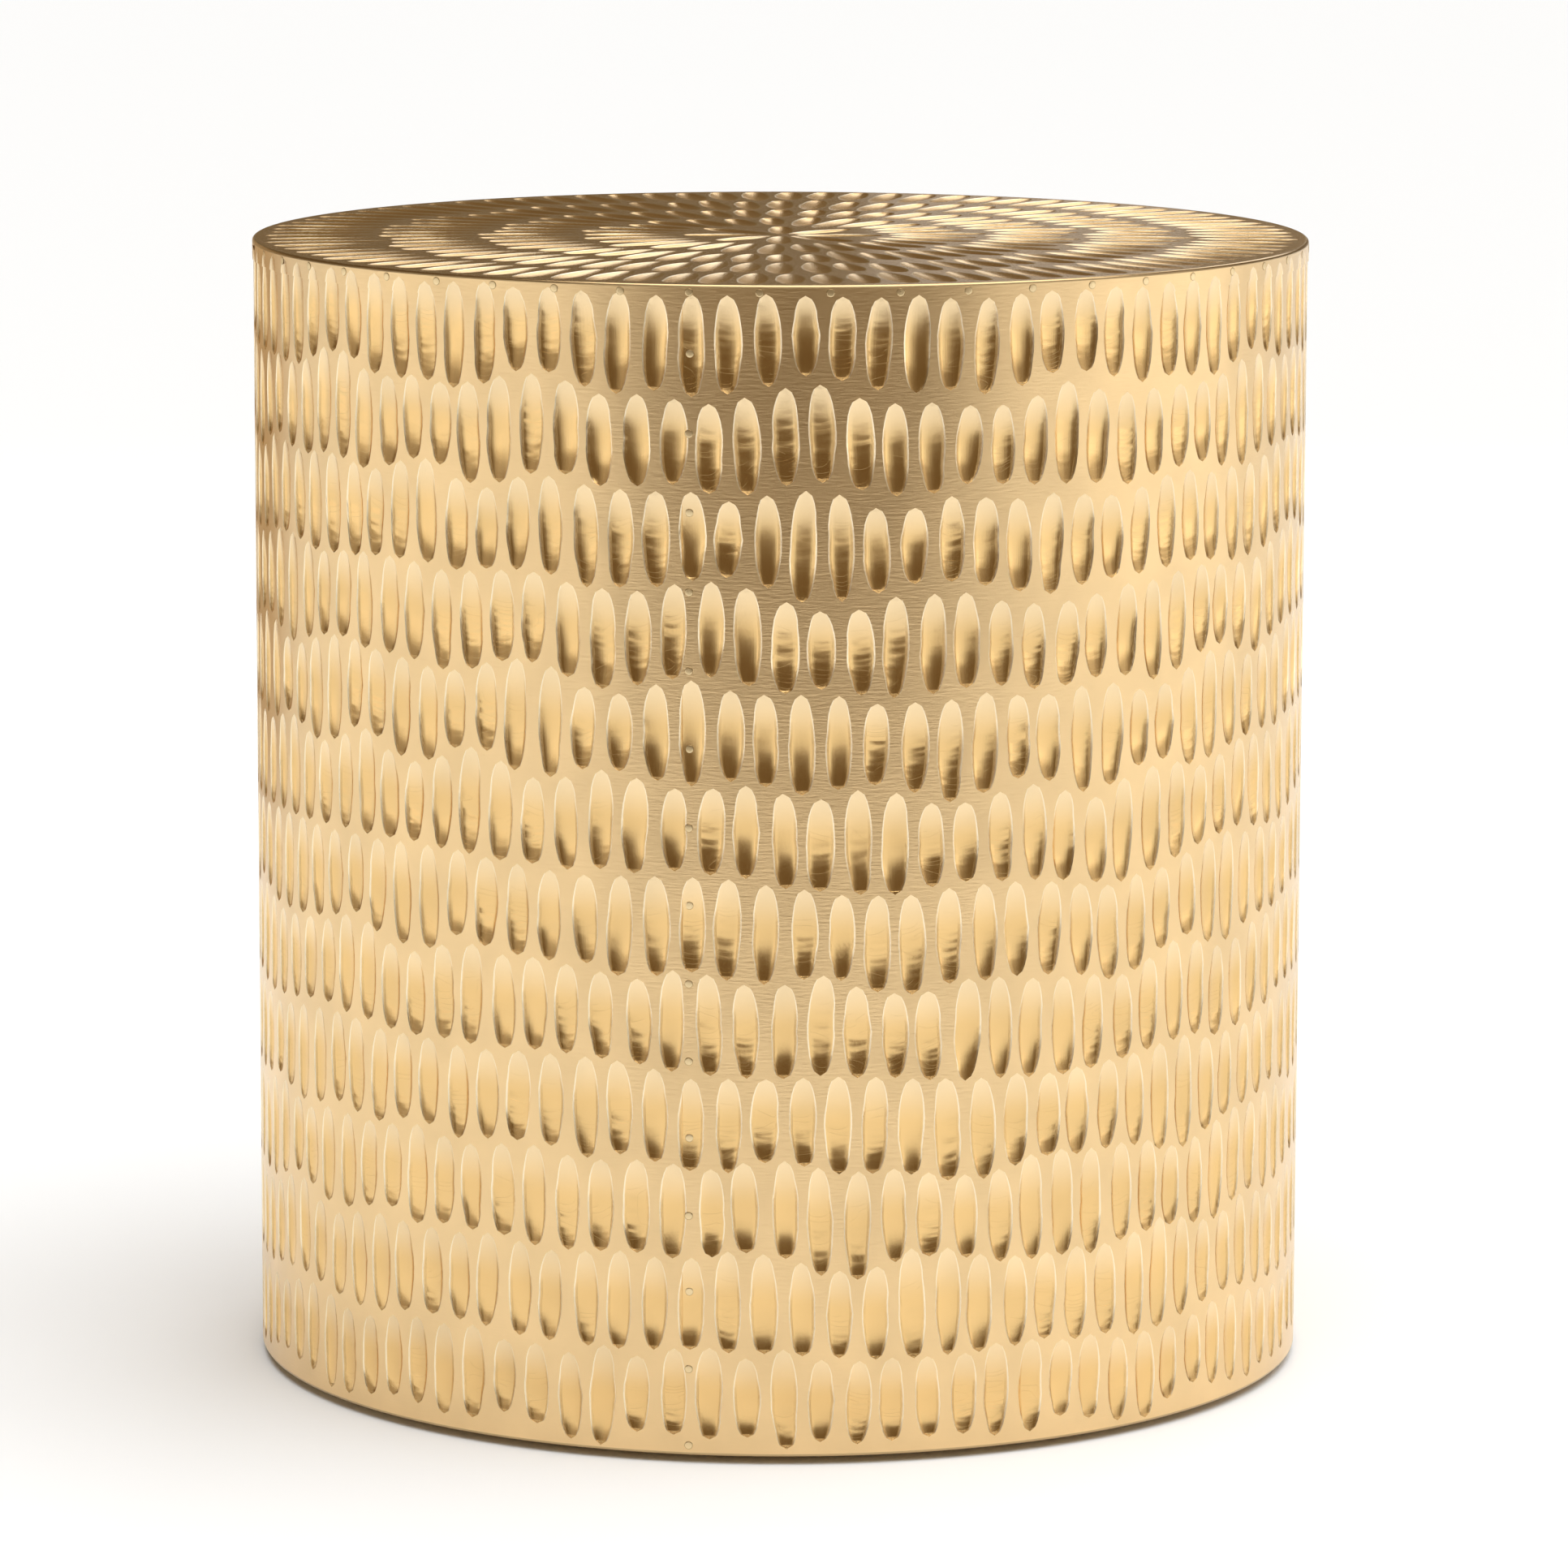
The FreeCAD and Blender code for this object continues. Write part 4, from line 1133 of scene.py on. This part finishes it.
class DRUM_OT_carcass(bpy.types.Operator):
    """Turns the plywood behind the beaten sheets, set back as far as they are deep, and finishes the rest"""
    bl_idname = "drum.carcass"
    bl_label = "Carcass"

    def execute(self, context):
        sheets, colours = context.scene.drum_sheets, context.scene.drum_colours
        birch = birch_plywood(colours)
        clear, ease = 0.05 * MM, 0.5 * MM
        outer = sheets.side_radius - sheets.backing - clear
        inner, low, high = BOARD_HIGH.x, WALL_LOW.z, sheets.table_top - sheets.backing - clear
        wall = ((inner, low), (outer - ease, low), (outer, low + ease), (outer, high - ease),
                (outer - ease, high), (inner, high))
        board = ((0, BOARD_LOW.z), (inner - clear, BOARD_LOW.z), (inner - clear, high - ease),
                 (inner - clear - ease, high), (0, high))
        pieces = {"wall_front": turned("plywood_wall_front", wall, math.pi, math.pi, WALL_STEPS, birch),
                  "wall_back": turned("plywood_wall_back", wall, 0.0, math.pi, WALL_STEPS, birch),
                  "top_board": turned("plywood_top_board", board, 0.0, FULL_TURN, BOARD_STEPS, birch)}
        for node, piece in pieces.items():
            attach(piece, "root")
            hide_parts(node)
        finishes = {"birch_plywood": birch, "pine_posts": planed_pine(colours),
                    "zinc_steel": zinc_plate(colours), "nylon": moulded_nylon(colours)}
        for part in frame["record"]["subparts"]:
            finish = finishes.get(part["material_slot"])
            for slot in frame["nodes"][part["node"]].material_slots if finish else ():
                slot.material = finish
        for node in ("top_hoop_brads", "middle_hoop_brads", "base_hoop_brads"):
            piece = self.sunk(node, outer, finishes["zinc_steel"])
            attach(piece, "root")
            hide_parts(node)
        return {"FINISHED"}

    def sunk(self, node, limit, zinc):
        """A copy of a node's brads, driven in as far as the face of the plywood."""
        brads = frame["nodes"][node]
        mesh = brads.data.copy()
        mesh.transform(brads.matrix_world)
        for vert in mesh.vertices:
            radius = vert.co.xy.length
            if radius > limit:
                vert.co.xy *= limit / radius
        mesh.materials.clear()
        mesh.materials.append(zinc)
        return placed(f"sunk_{node}", mesh)


# Stage

class DRUM_OT_studio(bpy.types.Operator):
    """Lays the floor, sets the lights and places the camera"""
    bl_idname = "drum.studio"
    bl_label = "Studio"

    def execute(self, context):
        studio, colours = context.scene.drum_studio, context.scene.drum_colours
        reach = studio.floor_reach
        mesh = bpy.data.meshes.new("studio_floor")
        mesh.from_pydata([(-reach, -reach, 0), (reach, -reach, 0), (reach, reach, 0), (-reach, reach, 0)],
                         [], [(0, 1, 2, 3)])
        mesh.materials.append(studio_floor(colours))
        floor = placed("studio_floor", mesh)

        context.scene.world = studio_walls(colours)
        for name, (place, width, height, fade, brightness) in CARDS.items():
            self.stand(name, place, width, height, dark_card(name, colours, fade, brightness))
        for name, (place, faced, width, height, brightness) in SOFTBOXES.items():
            light = bpy.data.lights.new(name, "AREA")
            light.shape, light.size, light.size_y = "RECTANGLE", width, height
            light.energy = brightness * studio.softbox_level * math.pi * width * height
            self.hang(light, place, (Vector(faced) - Vector(place)).to_track_quat("-Z", "Y").to_euler())
        overhead = bpy.data.lights.new("overhead", "SUN")
        overhead.energy, overhead.angle = studio.overhead_level, OVERHEAD_SPREAD
        self.hang(overhead, OVERHEAD_PLACE, OVERHEAD_TURN)

        lens = bpy.data.cameras.new("camera")
        lens.sensor_width, lens.lens = studio.sensor, studio.lens
        camera = placed("camera", lens)
        turn = Matrix.Rotation(-studio.yaw, 4, "Z") @ Matrix.Rotation(math.pi / 2 - studio.pitch, 4, "X")
        camera.matrix_world = (Matrix.Translation((0, -studio.camera_distance, studio.camera_height))
                               @ turn @ Matrix.Rotation(studio.roll, 4, "Z"))
        context.scene.camera = camera
        context.scene.view_settings.view_transform = "Standard"
        return {"FINISHED"}

    def stand(self, name, place, width, height, finish):
        """Stands a card on the floor facing the drum, out of the camera's sight."""
        x, y = place
        aside = Vector((-y, x, 0)).normalized() * width / 2
        foot = Vector((x, y, 0))
        rise = Vector((0, 0, height))
        mesh = bpy.data.meshes.new(f"{name} card")
        mesh.from_pydata([foot - aside, foot + aside, foot + aside + rise, foot - aside + rise],
                         [], [(0, 1, 2, 3)])
        across = mesh.attributes.new("across", "FLOAT", "POINT")
        across.data.foreach_set("value", [-1.0, 1.0, 1.0, -1.0])
        mesh.materials.append(finish)
        card = placed(f"{name} card", mesh)
        card.visible_camera = card.visible_diffuse = card.visible_shadow = False

    def hang(self, light, place, turn):
        """Hangs a lamp out of the camera's sight."""
        lamp = placed(light.name, light)
        lamp.location, lamp.rotation_euler = place, turn
        lamp.visible_camera = False


class DRUM_PT_sidebar(bpy.types.Panel):
    """Lists the sizes and the steps that dress the drum table"""
    bl_idname = "DRUM_PT_sidebar"
    bl_label = "Drum table"
    bl_space_type = "VIEW_3D"
    bl_region_type = "UI"
    bl_category = "Drum table"

    def draw(self, context):
        for group, cls in PROPERTY_GROUPS.items():
            box = self.layout.box()
            for name in cls.__annotations__:
                box.prop(getattr(context.scene, group), name)
        for step in STEPS:
            self.layout.operator(step.bl_idname)


PROPERTY_GROUPS = {"drum_sheets": DrumSheets, "drum_hollows": DrumHollows, "drum_pins": DrumPins,
                   "drum_colours": DrumColours, "drum_studio": DrumStudio}
STEPS = (DRUM_OT_beaten_sheets, DRUM_OT_pins, DRUM_OT_carcass, DRUM_OT_studio)


def register():
    for cls in (*PROPERTY_GROUPS.values(), *STEPS, DRUM_PT_sidebar):
        bpy.utils.register_class(cls)
    for name, cls in PROPERTY_GROUPS.items():
        setattr(bpy.types.Scene, name, bpy.props.PointerProperty(type=cls))


def unregister():
    for name in PROPERTY_GROUPS:
        delattr(bpy.types.Scene, name)
    for cls in reversed((*PROPERTY_GROUPS.values(), *STEPS, DRUM_PT_sidebar)):
        bpy.utils.unregister_class(cls)


def main():
    register()
    bpy.ops.drum.beaten_sheets()
    bpy.ops.drum.pins()
    bpy.ops.drum.carcass()
    bpy.ops.drum.studio()


if __name__ == "__main__":
    main()
